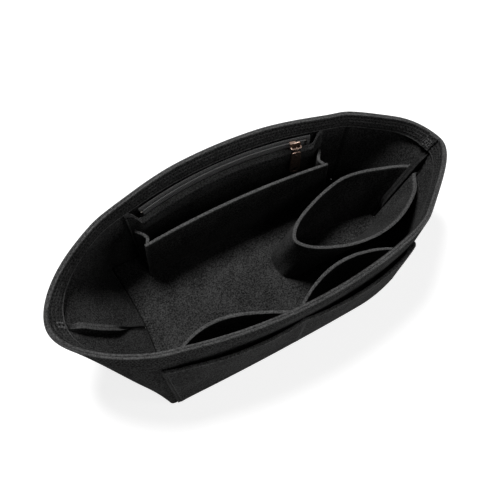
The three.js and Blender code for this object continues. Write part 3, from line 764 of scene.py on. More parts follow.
def felt_panel(
    name, near, far, node,
    edge_share=1.0, lit_rows=0, near_painted_shade=0.0, far_painted_shade=0.0, lit_top=0,
):
    """The lowest and top rows of its far face can carry a painted highlight, nearly as light as a cut
    edge, and creases, grooves and seams can carry painted shade."""
    near, far = settled(near), settled(far)
    points, faces, cut = slab(near, far)
    count = near.shape[0] * near.shape[1]
    # Painted highlight: the lowest and top rows of the far face get the light cut-edge colour
    cut[count : count + lit_rows * near.shape[1]] = LIT_SHARE / edge_share
    cut[2 * count - lit_top * near.shape[1] : 2 * count] = LIT_SHARE / edge_share
    made = new_object(name, points, faces, FELT_CLOTH)
    set_point_value(made, "cut_edge_and_painted_highlight", cut * edge_share)
    # Painted shade: the deep attribute darkens creases, grooves and seams
    deep = np.zeros(len(points))
    deep[:count] = np.broadcast_to(near_painted_shade, near.shape[:2]).ravel()
    far_painted_shade = np.broadcast_to(far_painted_shade, near.shape[:2])
    deep[count : 2 * count] = far_painted_shade.ravel()
    row, station = rim_order(*near.shape[:2])
    on_side = (row > 0) & (row < near.shape[0] - 1)
    deep[2 * count :] = np.tile(far_painted_shade[row, station] * on_side, EDGE_STEPS - 1)
    set_point_value(made, "deep", deep)
    stand_for(made, "insert", node)
    width, length, area = flat_size(near, far)
    if min(width, length) > SMALLEST_SHEET:
        area = min(area, width * length)
    return made


def tube(line, radius, sides, closed=False):
    """Points and faces of a round tube along a line."""
    ahead = np.roll(line, -1, 0) - np.roll(line, 1, 0)
    if not closed:
        ahead[0] = line[1] - line[0]
        ahead[-1] = line[-1] - line[-2]
    ahead = unit(ahead)
    across = unit(np.cross(ahead, TUBE_GUIDE))
    beside = np.cross(ahead, across)
    angles = np.linspace(0, 2 * math.pi, sides, endpoint=False)
    ring = np.cos(angles)[:, None] * across[:, None] + np.sin(angles)[:, None] * beside[:, None]
    points = line[:, None] + ring * np.asarray(radius, float).reshape(-1, 1, 1)
    count = len(line)
    ids = np.arange(count * sides).reshape(count, sides)
    wrapped = np.hstack([ids, ids[:, :1]])
    if closed:
        wrapped = np.vstack([wrapped, wrapped[:1]])
    return points.reshape(-1, 3), grid_faces(wrapped)


def joined(parts):
    """One set of points and faces from several."""
    points, faces, start = [], [], 0
    for some_points, some_faces in parts:
        points.append(some_points)
        faces.append(some_faces + start)
        start += len(some_points)
    return np.vstack(points), np.vstack(faces)


def stitches(line, outward, girth, pitch=STITCH_PITCH, length=STITCH_LENGTH):
    """Points and faces of a row of stitches along a line that lies on the felt."""
    run = running_length(line)
    count = max(1, int(run[-1] // pitch))
    centres = (np.arange(count) + 0.5) * run[-1] / count

    def at(values, where):
        return np.stack([np.interp(where, run, values[:, k]) for k in range(3)], -1)

    angles = np.linspace(0, 2 * math.pi, STITCH_SIDES, endpoint=False)
    rings = []
    for along_share, rise_share, girth_share in STITCH_SECTIONS:
        where = np.clip(centres + along_share * length / 2, 0, run[-1])
        up = unit(at(outward, where))
        after = at(line, np.minimum(where + STITCH_LOOK, run[-1]))
        ahead = unit(after - at(line, np.maximum(where - STITCH_LOOK, 0)))
        across = unit(np.cross(ahead, up))
        lift = girth / 2 + STITCH_SINK * (rise_share - 1)
        core = at(line, where) + up * lift
        ring = np.cos(angles)[:, None] * across[:, None] + np.sin(angles)[:, None] * up[:, None]
        rings.append(core[:, None] + ring * girth * girth_share)
    points = np.stack(rings, 1)
    sections = len(STITCH_SECTIONS)
    ids = np.arange(count * sections * STITCH_SIDES).reshape(count, sections, STITCH_SIDES)
    faces = []
    for stitch in ids:
        wrapped = np.hstack([stitch, stitch[:, :1]])
        faces.append(grid_faces(wrapped))
    return points.reshape(-1, 3), np.vstack(faces)


def sewn(name, rows, girth=THREAD_RADIUS, material=None):
    """Makes one piece of thread from several rows of stitches."""
    points, faces = joined([stitches(line, outward, girth) for line, outward in rows])
    made = new_object(name, settled(points), faces, material or THREAD)
    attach(made, "insert")
    return made


# Materials


def new_material(name):
    made = bpy.data.materials.new(name)
    made.use_nodes = True
    made.node_tree.nodes.clear()
    return made, made.node_tree


def add_node(tree, kind, inputs=(), **settings):
    node = tree.nodes.new(kind)
    for key, value in settings.items():
        setattr(node, key, value)
    for key, value in dict(inputs).items():
        if isinstance(value, bpy.types.NodeSocket):
            tree.links.new(value, node.inputs[key])
        else:
            node.inputs[key].default_value = value
    return node


def place_of(tree):
    return add_node(tree, "ShaderNodeTexCoord").outputs["Object"]


def noise_of(tree, place, scale, detail, roughness=0.5, distortion=0.0):
    return add_node(tree, "ShaderNodeTexNoise", {
        "Vector": place,
        "Scale": scale,
        "Detail": detail,
        "Roughness": roughness,
        "Distortion": distortion,
    }).outputs["Fac"]


def ramp_of(tree, value, stops):
    node = add_node(tree, "ShaderNodeValToRGB", {"Fac": value})
    elements = node.color_ramp.elements
    while len(elements) < len(stops):
        elements.new(0.5)
    for element, (place, grey) in zip(elements, stops):
        element.position = place
        element.color = (*grey, 1) if isinstance(grey, tuple) else (grey, grey, grey, 1)
    return node.outputs["Color"]


def math_of(tree, operation, a, b):
    return add_node(tree, "ShaderNodeMath", {0: a, 1: b}, operation=operation).outputs[0]


def colour_mix(tree, share, a, b, blend="MIX"):
    node = tree.nodes.new("ShaderNodeMix")
    node.data_type = "RGBA"
    node.blend_type = blend
    for key, value in ((0, share), (6, a), (7, b)):
        if isinstance(value, bpy.types.NodeSocket):
            tree.links.new(value, node.inputs[key])
        else:
            node.inputs[key].default_value = value
    return node.outputs[2]


def bump_of(tree, height, strength, relief):
    values = {"Height": height, "Strength": strength, "Distance": relief * MM}
    return add_node(tree, "ShaderNodeBump", values).outputs["Normal"]


def finish_material(tree, shader):
    out = add_node(tree, "ShaderNodeOutputMaterial")
    tree.links.new(shader.outputs[0], out.inputs["Surface"])


def finish_surface(made, tree, values):
    finish_material(tree, add_node(tree, "ShaderNodeBsdfPrincipled", values))
    return made


def felt_material(name, painted_light_share):
    made, tree = new_material(name)
    place = place_of(tree)
    fibre = noise_of(tree, place, FIBRE_SCALE, 4, 0.7, 0.6)
    tuft = noise_of(tree, place, TUFT_SCALE, 3, 0.6, 0.3)
    patch = noise_of(tree, place, PATCH_SCALE, 2)
    fibre_part = math_of(tree, "MULTIPLY", fibre, FIBRE_SHARE)
    grain = math_of(tree, "ADD", fibre_part, math_of(tree, "MULTIPLY", tuft, TUFT_SHARE))
    grain_part = math_of(tree, "MULTIPLY", grain, GRAIN_SHARE)
    shade = math_of(tree, "ADD", grain_part, math_of(tree, "MULTIPLY", patch, PATCH_SHARE))
    # A share above one makes a lighter copy of the felt, which paints light onto the base
    dark, light = FELT_DARK * painted_light_share, FELT_LIGHT * painted_light_share
    greys = (dark, (dark + light) / FELT_MIDDLE_DIVISOR, light)
    face = ramp_of(tree, shade, list(zip(FELT_STOPS, greys)))
    cut_greys = (CUT_DARK, (CUT_DARK + CUT_LIGHT) / 2, CUT_LIGHT)
    cut = ramp_of(tree, shade, list(zip(CUT_STOPS, cut_greys)))
    # This attribute gives cut edges their lighter fibre colour, and also paints highlights on some rows of
    # the faces
    edge = add_node(tree, "ShaderNodeAttribute", attribute_name="cut_edge_and_painted_highlight").outputs["Fac"]
    colour = colour_mix(tree, edge, face, cut)
    # The deep attribute paints shade: it mixes near black into creases, stitch grooves and seams
    deep = add_node(tree, "ShaderNodeAttribute", attribute_name="deep").outputs["Fac"]
    return finish_surface(made, tree, {
        "Base Color": colour_mix(tree, deep, colour, (PAINTED_SHADE_GREY, PAINTED_SHADE_GREY, PAINTED_SHADE_GREY, 1)),
        "Normal": bump_of(tree, grain, 0.8, FELT_RELIEF),
        "Roughness": 0.95,
        "Specular IOR Level": 0.02,
        "Sheen Weight": 0.03,
        "Sheen Roughness": 0.5,
    })


def thread_material(name, dark, light):
    made, tree = new_material(name)
    twist = noise_of(tree, place_of(tree), TWIST_SCALE, 2, 0.5, 1.2)
    return finish_surface(made, tree, {
        "Base Color": ramp_of(tree, twist, list(zip(THREAD_STOPS, (dark, light)))),
        "Normal": bump_of(tree, twist, 0.4, THREAD_RELIEF),
        "Roughness": 0.6,
        "Specular IOR Level": 0.35,
    })


def tape_material():
    made, tree = new_material("zip_tape_weave")
    place = place_of(tree)
    split = add_node(tree, "ShaderNodeSeparateXYZ", {0: place})
    along = split.outputs["X"]
    warp = math_of(tree, "SINE", math_of(tree, "MULTIPLY", along, WARP_SCALE), 0)
    lean = math_of(tree, "MULTIPLY", along, WEFT_LEAN_SHARE)
    slanted = math_of(tree, "ADD", split.outputs["Z"], lean)
    weft = math_of(tree, "SINE", math_of(tree, "MULTIPLY", slanted, WEFT_SCALE), 0)
    weave = math_of(tree, "MULTIPLY", warp, weft)
    patch = noise_of(tree, place, TAPE_PATCH_SCALE, 3)
    shade = math_of(tree, "ADD", math_of(tree, "MULTIPLY", weave, WEAVE_SHARE), patch)
    return finish_surface(made, tree, {
        "Base Color": ramp_of(tree, shade, list(zip(TAPE_STOPS, (TAPE_DARK, TAPE_LIGHT)))),
        "Normal": bump_of(tree, weave, 0.5, TAPE_RELIEF),
        "Roughness": 0.8,
        "Specular IOR Level": 0.2,
        "Sheen Weight": 0.1,
    })


def coil_material():
    made, tree = new_material("nylon_coil")
    streak = noise_of(tree, place_of(tree), STREAK_SCALE, 2)
    return finish_surface(made, tree, {
        "Base Color": ramp_of(tree, streak, list(zip(COIL_STOPS, (COIL_DARK, COIL_LIGHT)))),
        "Roughness": ramp_of(tree, streak, list(zip(COIL_STOPS, (COIL_SHINY, COIL_MATT)))),
        "Specular IOR Level": 0.5,
    })


def metal_material(name, dark, main):
    made, tree = new_material(name)
    place = place_of(tree)
    cloud = noise_of(tree, place, CLOUD_SCALE, 4, 0.6)
    stretch = {"Vector": place, "Scale": (1.0, 1.0, SCRATCH_STRETCH_SHARE)}
    stretched = add_node(tree, "ShaderNodeMapping", stretch).outputs[0]
    scratch = noise_of(tree, stretched, SCRATCH_SCALE, 3, 0.6)
    roughness = list(zip(METAL_ROUGH_STOPS, (METAL_MATT, METAL_SHINY)))
    return finish_surface(made, tree, {
        "Base Color": ramp_of(tree, cloud, list(zip(METAL_COLOUR_STOPS, (dark, main)))),
        "Metallic": 1.0,
        "Roughness": ramp_of(tree, cloud, roughness),
        "Normal": bump_of(tree, scratch, 0.15, METAL_RELIEF),
    })


FELT_CLOTH = felt_material("black_felt", 1.0)
# The same felt made lighter for the base: painted light
FLOOR_FELT_PAINTED_LIGHTER = felt_material("black_floor_felt_painted_lighter", FLOOR_PAINTED_LIGHT_SHARE)
THREAD = thread_material("black_thread", THREAD_DARK, THREAD_LIGHT)
WORN_THREAD = thread_material("worn_thread", WORN_DARK, WORN_LIGHT)
TAPE_CLOTH = tape_material()
COIL_NYLON = coil_material()
METAL = metal_material("rose_bronze", METAL_DARK, METAL_MAIN)
STOP_METAL = metal_material("blackened_metal", STOP_DARK, STOP_MAIN)


# Body panels


RIM_ROW_HEIGHTS = [WALL_HEIGHT - drop for drop in RIM_ROW_DROPS]


def flap_presence(height, start, taper):
    seam_top = BAND_FOOT - CLEARANCE
    rise = smooth((height - FLOOR_TOP - start) / taper)
    return rise * smooth((seam_top - height) / SEAM_RISE)


def rim_squeeze(height):
    """How much thinner the rim's stitches press each layer near its top."""
    return RIM_SQUEEZE * smooth((height - WALL_HEIGHT + RIM_SQUEEZE_RUN) / RIM_SQUEEZE_RUN)


def body_panel(side, name, node):
    heights = with_grooves(even_steps(0, WALL_HEIGHT), RIM_ROW_HEIGHTS)
    up = up_at(heights)[:, None]
    left_flap = flap_presence(heights, LEFT_FLAP_START, LEFT_FLAP_TAPER)[:, None]
    right_flap = flap_presence(heights, RIGHT_FLAP_START, RIGHT_FLAP_TAPER)[:, None]
    reach_share = FLAP_STEPS[1] / (LEFT_TIP_REACH + HALF_DEPTH)
    inner = 1 - reach_share * (1 - CORNER_SHARE)
    shares = np.concatenate([[-1], even_shares(side, -inner, inner), [1]])
    centre = wall(side, shares[None], up, FELT / 2)
    outward = -wall_inward(side, shares[None], up * np.ones_like(shares)[None])
    flap_y = HALF_SEAM + np.where(shares[None] < 0, left_flap, right_flap) * FELT / 2
    centre[..., 1] = side * np.maximum(side * centre[..., 1], flap_y)
    flap_out = np.array([0, -side, 0.0])
    ends = []
    for sign, index, flap in ((-1, 0, left_flap), (1, -1, right_flap)):
        corner_y = HALF_SEAM + flap * FELT / 2
        corner, corner_out = centre[:, index].copy(), outward[:, index].copy()
        corner[:, 1] = side * corner_y[:, 0]
        centre[:, index] = corner
        outward[:, index] = unit(corner_out + flap_out * flap)
        points, outs = [], []
        for step in FLAP_STEPS[1:]:
            point = corner.copy()
            point[:, 0] -= sign * np.maximum(step * flap[:, 0], step / FLAP_STEPS[-1] * HALF_SEAM)
            points.append(point)
            outs.append(unit(mix(corner_out, flap_out, flap)))
        ends.append((np.stack(points, 1), np.stack(outs, 1)))
    (left, left_out), (right, right_out) = ends
    centre = np.concatenate([left[:, ::-1], centre, right], 1)
    outward = np.concatenate([left_out[:, ::-1], outward, right_out], 1)
    press = groove(heights, RIM_ROW_HEIGHTS)[:, None, None]
    fold = np.zeros(centre.shape[1])
    if side > 0:
        from_fold = (shares - CORNER_SHARE) * BASE_SIDE_END / SIDE_SHARE
        inner_fold = 1 - smooth(np.abs(from_fold) / CORNER_FOLD_HALF_WIDTH)
        fold[len(FLAP_STEPS) - 1 : 1 - len(FLAP_STEPS)] = CORNER_FOLD_PRESS * inner_fold
    near = centre + outward * (FELT / 2 - press)
    far = centre - outward * (FELT / 2 - rim_squeeze(heights)[:, None, None] - fold[None, :, None])
    steps = len(FLAP_STEPS)
    far[:, :steps, 1] += side * SEAM_OPENING * (1 - left_flap)
    far[:, -steps:, 1] += side * SEAM_OPENING * (1 - right_flap)
    near[0, :, 2] = 0
    far[0, :, 2] = 0
    # Painted shade along the stitch grooves, the corner fold, the seam lines and the right seam's flap
    row_painted_shade = ROW_PAINTED_SHADE * groove(heights, RIM_ROW_HEIGHTS)[:, None] / GROOVE_DEPTH
    far_painted_shade = np.tile(fold / CORNER_FOLD_PRESS * FOLD_PAINTED_SHADE, (len(heights), 1))
    far_painted_shade[:, :steps] = SEAM_PAINTED_SHADE * (1 - left_flap)
    far_painted_shade[:, -steps:] = mix(SEAM_PAINTED_SHADE, FLAP_PAINTED_SHADE, right_flap)
    return felt_panel(name, near, far, node, RIM_EDGE_SHARE, 0, row_painted_shade, far_painted_shade)


# Band inside the rim, with its rows of stitches


def rim_band(side, name, node):
    heights = with_grooves(even_steps(BAND_FOOT, WALL_HEIGHT), RIM_ROW_HEIGHTS)
    # Two extra rows just above the foot hold the painted highlight line
    heights = np.sort(np.concatenate([heights, BAND_FOOT + np.array(LIT_ROW_HEIGHTS)]))
    up = up_at(heights)[:, None]
    shares = even_shares(side, -1, 1)[None]
    squeeze = rim_squeeze(heights)[:, None]
    start = FELT + LAYER_GAP - squeeze
    near = keep_off_seam(wall(side, shares, up, start), side)
    press = groove(heights, RIM_ROW_HEIGHTS)[:, None]
    far = keep_off_seam(wall(side, shares, up, start + FELT - squeeze - press), side)
    # The lowest rows of the inner face carry a painted highlight, and the stitch grooves painted shade
    lit_rows = len(LIT_ROW_HEIGHTS) + 1
    row_painted_shade = ROW_PAINTED_SHADE * press / GROOVE_DEPTH
    return felt_panel(name, near, far, node, RIM_EDGE_SHARE, lit_rows, 0, row_painted_shade)


def wall_row(side, start, stop, height, depth, inside):
    """A line for stitches along the wall, and the way out of the felt there."""
    shares = even_shares(side, start, stop)
    line = wall(side, shares, up_at(height), depth)
    outward = wall_inward(side, shares, np.full(shares.shape, up_at(height)))
    return line, outward if inside else -outward


def rim_stitches(side, name):
    reach = 1 - STEP_SHARE
    rows = []
    for height in RIM_ROW_HEIGHTS:
        inner_depth = 2 * (FELT - rim_squeeze(height)) + LAYER_GAP - GROOVE_DEPTH
        rows.append(wall_row(side, -reach, reach, height, GROOVE_DEPTH, False))
        rows.append(wall_row(side, -reach, reach, height, inner_depth, True))
    return sewn(name, rows)


# Tack at the right tip


def tack_reach():
    tip_gap = np.linalg.norm(RIGHT_END["tip"] - CREASE)
    return (1 - CORNER_SHARE) * TACK_LENGTH / tip_gap


def seam_tack():
    start = 2 * (FELT + LAYER_GAP) + LAYER_GAP
    reach = tack_reach()
    up = up_at(even_steps(BAND_FOOT, WALL_HEIGHT, GRAIN / 2))[:, None]
    shares = np.linspace(1 - reach, 1, TACK_STATIONS)[None]
    near = keep_off_seam(wall(1, shares, up, start), 1)
    far = keep_off_seam(wall(1, shares, up, start + TACK_THICKNESS), 1)
    return felt_panel("seam_tack_felt", near, far, "right_seam_tack")


def slanted_row(side, from_share, to_share, from_height, to_height, depth):
    """A straight line of stitches across the wall's inner side."""
    k = np.linspace(0, 1, CROSS_ROW_POINTS)
    shares, ups = mix(from_share, to_share, k), up_at(mix(from_height, to_height, k))
    return keep_off_seam(wall(side, shares, ups, depth), side), wall_inward(side, shares, ups)


def tip_stitches():
    """Crossed stitches over the tack at the right tip, and over the seam's end at the left tip."""
    reach = tack_reach()
    low, high = BAND_FOOT, WALL_HEIGHT - RIM_ROW_DROPS[0]
    band_face = 2 * FELT + LAYER_GAP
    tack_face = band_face + LAYER_GAP + TACK_THICKNESS
    rows = []
    for a, b, c, d in TACK_CROSSES:
        heights = (mix(low, high, b), mix(low, high, d))
        rows.append(slanted_row(1, 1 - reach * a, 1 - reach * c, *heights, tack_face))
    for side in (1, -1):
        for a, b, c, d in KNOT_CROSSES:
            spots = [-1 + reach * KNOT_REACH_SHARE * k for k in (a, c)]
            rows.append(slanted_row(side, *spots, mix(low, high, b), mix(low, high, d), band_face))
    return sewn("tip_cross_stitches", rows, CROSS_RADIUS, WORN_THREAD)


# Outer and inner front pockets


DIVIDER = share_at_x(DIVIDER_OFFSET)


def pocket_swell(share, left_share, right_share, left_peak, right_peak):
    outer = np.where(share < DIVIDER, left_share, right_share)
    peak = np.where(share < DIVIDER, left_peak, right_peak)
    k = np.clip((share - DIVIDER) / (outer - DIVIDER), 0, 1)
    return np.sin(np.pi * k ** (np.log(0.5) / np.log(peak))).clip(0) ** POCKET_FULL_SHARE


def pocket_shares(left_share, right_share):
    left = even_shares(-1, left_share, DIVIDER)
    return np.concatenate([left, even_shares(-1, DIVIDER, right_share)[1:]])


def pocket_edge_gap(shares):
    """The distance from the outer pocket's nearer side edge."""
    return np.minimum(shares + CORNER_SHARE, POCKET_RIGHT_SHARE - shares) * BASE_SIDE_END / SIDE_SHARE


def outer_pocket_up(shares, k):
    """How far up the wall the outer pocket's panel is at a share of its own height."""
    spread = np.abs(shares) / CORNER_SHARE
    round_off = np.clip(1 - pocket_edge_gap(shares) / POCKET_CORNER_ROUND, 0, 1)
    fall = POCKET_CORNER_ROUND * (1 - np.sqrt(1 - round_off**2))
    return up_at(OUTER_POCKET_HEIGHT + POCKET_END_RISE * spread**2 - fall) * k


def outer_pocket_depths(shares, k):
    """Depths of the panel's two faces, which are negative outside the wall."""
    peak = OUTER_POCKET_PEAK_SHARE
    swell = pocket_swell(shares, -CORNER_SHARE, POCKET_RIGHT_SHARE, peak, peak)
    near_depth = -LAYER_GAP - POCKET_GAPE * swell * smooth(k)
    from_edge = np.minimum(pocket_edge_gap(shares), k * OUTER_POCKET_HEIGHT)
    pressed = 1 - smooth(from_edge / POCKET_PRESS_RUN)
    return near_depth, near_depth - FELT + POCKET_PRESS * pressed


def outer_pocket():
    ends = np.array(POCKET_EDGE_STEPS) * SHARE_STEP
    shares = pocket_shares(-CORNER_SHARE, POCKET_RIGHT_SHARE)
    shares = shares[(shares > -CORNER_SHARE + ends[-1]) & (shares < POCKET_RIGHT_SHARE - ends[-1])]
    shares = np.concatenate([ends - CORNER_SHARE, shares, (POCKET_RIGHT_SHARE - ends)[::-1]])[None]
    k = even_steps(0, OUTER_POCKET_HEIGHT)[:, None] / OUTER_POCKET_HEIGHT
    near_depth, far_depth = outer_pocket_depths(shares, k)
    ups = outer_pocket_up(shares, k)
    near = wall(-1, shares, ups, near_depth)
    far = wall(-1, shares, ups, far_depth)
    near[0, :, 2] = 0
    far[0, :, 2] = 0
    return felt_panel("outer_pocket_felt", near, far, "outer_pocket_panel")


def outer_pocket_row(share):
    """An upright line of stitches on the outer pocket."""
    k = np.linspace(POCKET_ROW_END_SHARE, 1 - POCKET_ROW_END_SHARE, UPRIGHT_ROW_POINTS)
    shares = np.full(k.shape, float(share))
    ups = outer_pocket_up(shares, k)
    depth = outer_pocket_depths(shares, k)[1]
    return wall(-1, shares, ups, depth + THREAD_RADIUS / 2), -wall_inward(-1, shares, ups)


def outer_pocket_stitches():
    places = [-CORNER_SHARE + SHARE_STEP * d for d in POCKET_ROW_INSETS]
    places += [POCKET_RIGHT_SHARE - SHARE_STEP * d for d in POCKET_ROW_INSETS]
    places += [DIVIDER + sign * SHARE_STEP * DIVIDER_ROW_HALF_GAP for sign in (-1, 1)]
    return sewn("outer_pocket_stitches", [outer_pocket_row(share) for share in places])


LEFT_POCKET_SHARE = share_at_x(-INNER_POCKET_LEFT_END)
RIGHT_POCKET_SHARE = share_at_x(INNER_POCKET_RIGHT_END)


def inner_pocket_depth(shares, heights):
    k = (heights - FLOOR_TOP) / (INNER_POCKET_HEIGHT - FLOOR_TOP)
    open_share = smooth(POCKET_FOOT_SHARE + (1 - POCKET_FOOT_SHARE) * k)
    peaks = (LEFT_POCKET_PEAK_SHARE, RIGHT_POCKET_PEAK_SHARE)
    swell = pocket_swell(shares, LEFT_POCKET_SHARE, RIGHT_POCKET_SHARE, *peaks)
    return FELT + LAYER_GAP + INNER_POCKET_BULGE * swell * open_share


def inner_pockets():
    shares = pocket_shares(LEFT_POCKET_SHARE, RIGHT_POCKET_SHARE)[None]
    heights = even_steps(FLOOR_TOP, INNER_POCKET_HEIGHT)
    up = up_at(heights)[:, None]
    near_depth = inner_pocket_depth(shares, heights[:, None])
    near = wall(-1, shares, up, near_depth)
    far = wall(-1, shares, up, near_depth + FELT)
    near[0, :, 2] = FLOOR_TOP
    far[0, :, 2] = FLOOR_TOP
    return felt_panel("inner_pocket_felt", near, far, "inner_pocket_strip")


def inner_pocket_stitches():
    inset = SHARE_STEP * PANEL_ROW_DROP
    rows = []
    for share in (LEFT_POCKET_SHARE + inset, DIVIDER, RIGHT_POCKET_SHARE - inset):
        heights = np.linspace(2 * FLOOR_TOP, INNER_POCKET_HEIGHT - FELT / 2, UPRIGHT_ROW_POINTS)
        shares = np.full(heights.shape, float(share))
        depth = inner_pocket_depth(shares, heights) + FELT
        line = wall(-1, shares, up_at(heights), depth)
        rows.append((line, wall_inward(-1, shares, up_at(heights))))
    return sewn("inner_pocket_stitches", rows)


# Ribbons that stand on their edge: bottle loop, slip pocket and gussets


def ribbon(lines, heights, thickness):
    """Both faces of a ribbon from its centre line in plan at each height."""
    lines = np.asarray(lines)
    along = np.empty_like(lines)
    along[:, 1:-1] = lines[:, 2:] - lines[:, :-2]
    along[:, 0] = lines[:, 1] - lines[:, 0]
    along[:, -1] = lines[:, -1] - lines[:, -2]
    along = unit(along)
    across = np.stack([-along[..., 1], along[..., 0]], -1) * thickness / 2
    z = np.broadcast_to(np.asarray(heights)[:, None, None], (*lines.shape[:2], 1))
    return np.concatenate([lines + across, z], -1), np.concatenate([lines - across, z], -1)


def loop_line(shares, reach, back_width, front_width, up, count):
    seam_x = wall(1, 1, up, FELT)[0] - LOOP_SEAM_GAP
    seam_y = HALF_SEAM + FELT + LAYER_GAP + FELT / 2
    points = [
        (seam_x - along * reach, across * (back_width if across > 0 else front_width))
        for along, across in shares
    ]
    back = [(seam_x, seam_y), (seam_x - SEAM_REACH / 2, seam_y)]
    front = [(seam_x - SEAM_REACH / 2, -seam_y), (seam_x, -seam_y)]
    return smooth_curve([*back, *points, *front], count)


def bottle_loop():
    top_up = LOOP_HEIGHT / rim_height(np.array(1.0))
    stations = round(LOOP_RUN_SHARE * LOOP_REACH / GRAIN)
    foot_widths = (FOOT_BACK_WIDTH, FOOT_FRONT_WIDTH)
    foot = loop_line(LOOP_FOOT_SHARES, FOOT_REACH, *foot_widths, up_at(FLOOR_TOP), stations)
    top = loop_line(LOOP_TOP_SHARES, LOOP_REACH, LOOP_BACK_WIDTH, LOOP_FRONT_WIDTH, top_up, stations)
    heights = even_steps(FLOOR_TOP, LOOP_HEIGHT)
    k = ((heights - FLOOR_TOP) / (LOOP_HEIGHT - FLOOR_TOP))[:, None, None]
    near, far = ribbon(mix(foot[None], top[None], k), heights, FELT)
    return felt_panel("bottle_loop_felt", near, far, "bottle_pocket_loop")


def zip_panel_top(x):
    past = np.abs(x) - (ZIP_PANEL_HALF_LENGTH - ZIP_PANEL_END_LENGTH)
    rise = BAND_FOOT - CLEARANCE - ZIP_PANEL_HEIGHT
    return ZIP_PANEL_HEIGHT + rise * smooth(past / ZIP_PANEL_RISE_LENGTH)


ZIP_UP = up_at(ZIP_HEIGHT)
PLAIN_WALL_AT_ZIP = wall(1, 0, ZIP_UP, FELT)[1] - quarter_swell(False, True, 0.0, ZIP_UP)
ZIP_CENTRE_Y = float(PLAIN_WALL_AT_ZIP) - ZIP_STAND_OFF - ZIP_RADIUS


def zip_point(x, front, z):
    """A point in front of the zip line, which is an arc round a far upright axis."""
    x, front, z = np.broadcast_arrays(*(np.asarray(v, float) for v in (x, front, z)))
    angle = np.arcsin(x / ZIP_RADIUS)
    radius = ZIP_RADIUS - front
    return np.stack([radius * np.sin(angle), ZIP_CENTRE_Y + radius * np.cos(angle), z], -1)


def zip_panel_point(x, height, front):
    x, height = np.broadcast_arrays(np.asarray(x, float), np.asarray(height, float))
    past = np.abs(x) - (ZIP_PANEL_HALF_LENGTH - ZIP_PANEL_END_LENGTH)
    to_wall = smooth(past / (ZIP_PANEL_END_LENGTH - CLEARANCE))[..., None]
    drop = ZIP_PANEL_HEIGHT - height
    rising = smooth((ZIP_PANEL_FLARE_RUN - drop) / (ZIP_PANEL_FLARE_RUN - ZIP_PANEL_FLARE_DROP))
    flare = ZIP_PANEL_FLARE * rising * smooth(drop / ZIP_PANEL_FLARE_DROP)
    front = front + flare * (1 - to_wall[..., 0])
    rise = (height - FLOOR_TOP) / (ZIP_PANEL_HEIGHT - FLOOR_TOP)
    foot = wall(1, share_at_x(x), up_at(FLOOR_TOP), FELT + front)
    lean = np.minimum(rise / ZIP_PANEL_LEAN_SHARE, 1)[..., None]
    free = mix(foot, zip_point(x, front, height), lean)
    on_wall = wall(1, share_at_x(x), up_at(height), FELT + CLEARANCE + front)
    point = mix(free, on_wall, to_wall)
    point[..., 2] = height
    return point


def zip_panel():
    xs = even_steps(-ZIP_PANEL_HALF_LENGTH, ZIP_PANEL_HALF_LENGTH)[None]
    shares = np.linspace(0, 1, ZIP_PANEL_ROWS)[:, None]
    tops = zip_panel_top(xs)
    lower = FLOOR_TOP + (tops - ZIP_PANEL_HEM - GROOVE_HALF_WIDTH - FLOOR_TOP) * shares
    heights = np.concatenate([lower, tops - np.array(HEM_DROPS)[:, None]])
    drop = tops - heights
    press = ZIP_PANEL_PRESS * (1 - smooth(drop / ZIP_PANEL_HEM)) + groove(drop, [ZIP_PANEL_HEM])
    near = zip_panel_point(xs, heights, CLEARANCE)
    far = zip_panel_point(xs, heights, CLEARANCE + FELT - press)
    # Painted shade along the hem's stitch groove, and a painted highlight on the top rows of the far face
    row_painted_shade = ROW_PAINTED_SHADE * groove(drop, [ZIP_PANEL_HEM]) / GROOVE_DEPTH
    return felt_panel(
        "zip_pocket_felt", near, far, "zip_pocket_panel",
        far_painted_shade=row_painted_shade, lit_top=HEM_LIT_ROWS,
    )


def zip_panel_stitches():
    """A row along the panel's top edge and one down each of its sides."""
    reach = ZIP_PANEL_HALF_LENGTH - ZIP_PANEL_END_LENGTH - PANEL_ROW_DROP
    front = CLEARANCE + FELT
    toward = np.array([0, -1.0, 0])
    xs = np.linspace(-reach, reach, ZIP_ROW_POINTS)
    heights = np.full(xs.shape, ZIP_PANEL_HEIGHT - ZIP_PANEL_HEM)
    top = zip_panel_point(xs, heights, front - GROOVE_DEPTH)
    rows = [(top, np.tile(toward, (len(top), 1)))]
    for sign in (-1, 1):
        heights = np.linspace(2 * FLOOR_TOP, BAND_FOOT - PANEL_ROW_DROP, ZIP_SIDE_ROW_POINTS)
        x = sign * (ZIP_PANEL_HALF_LENGTH - PANEL_ROW_DROP)
        line = zip_panel_point(np.full(heights.shape, x), heights, front)
        rows.append((line, np.tile(toward, (len(line), 1))))
    return sewn("zip_panel_stitches", rows)


def slip_levels():
    heights = even_steps(FLOOR_TOP, SLIP_HEIGHT)
    k = (heights - FLOOR_TOP) / (SLIP_HEIGHT - FLOOR_TOP)
    halves = mix(SLIP_FOOT_HALF_LENGTH, SLIP_TOP_HALF_LENGTH, k)
    return heights, halves, mix(SLIP_FOOT_PLACE, SLIP_TOP_PLACE, k)


def slip_bow(x, height):
    """How far the slip pocket's front bows towards the back wall."""
    k = (height - FLOOR_TOP) / (SLIP_HEIGHT - FLOOR_TOP)
    flat = np.clip(1 - (x / GUSSET_PLACE) ** 2, 0, 1)
    return (SLIP_FOOT_BOW * (1 - k) ** 2 + SLIP_TOP_BOW * k**3) * flat


def slip_front():
    heights, halves, places = slip_levels()
    spans = np.linspace(-1, 1, round(2 * SLIP_FOOT_HALF_LENGTH / GRAIN) + 1)
    bows = slip_bow(spans[None] * halves[:, None], heights[:, None])
    lines = [np.stack([spans * half, place + bow], -1) for half, place, bow in zip(halves, places, bows)]
    near, far = ribbon(lines, heights, FELT)
    return felt_panel("slip_pocket_felt", near, far, "slip_pocket_front")


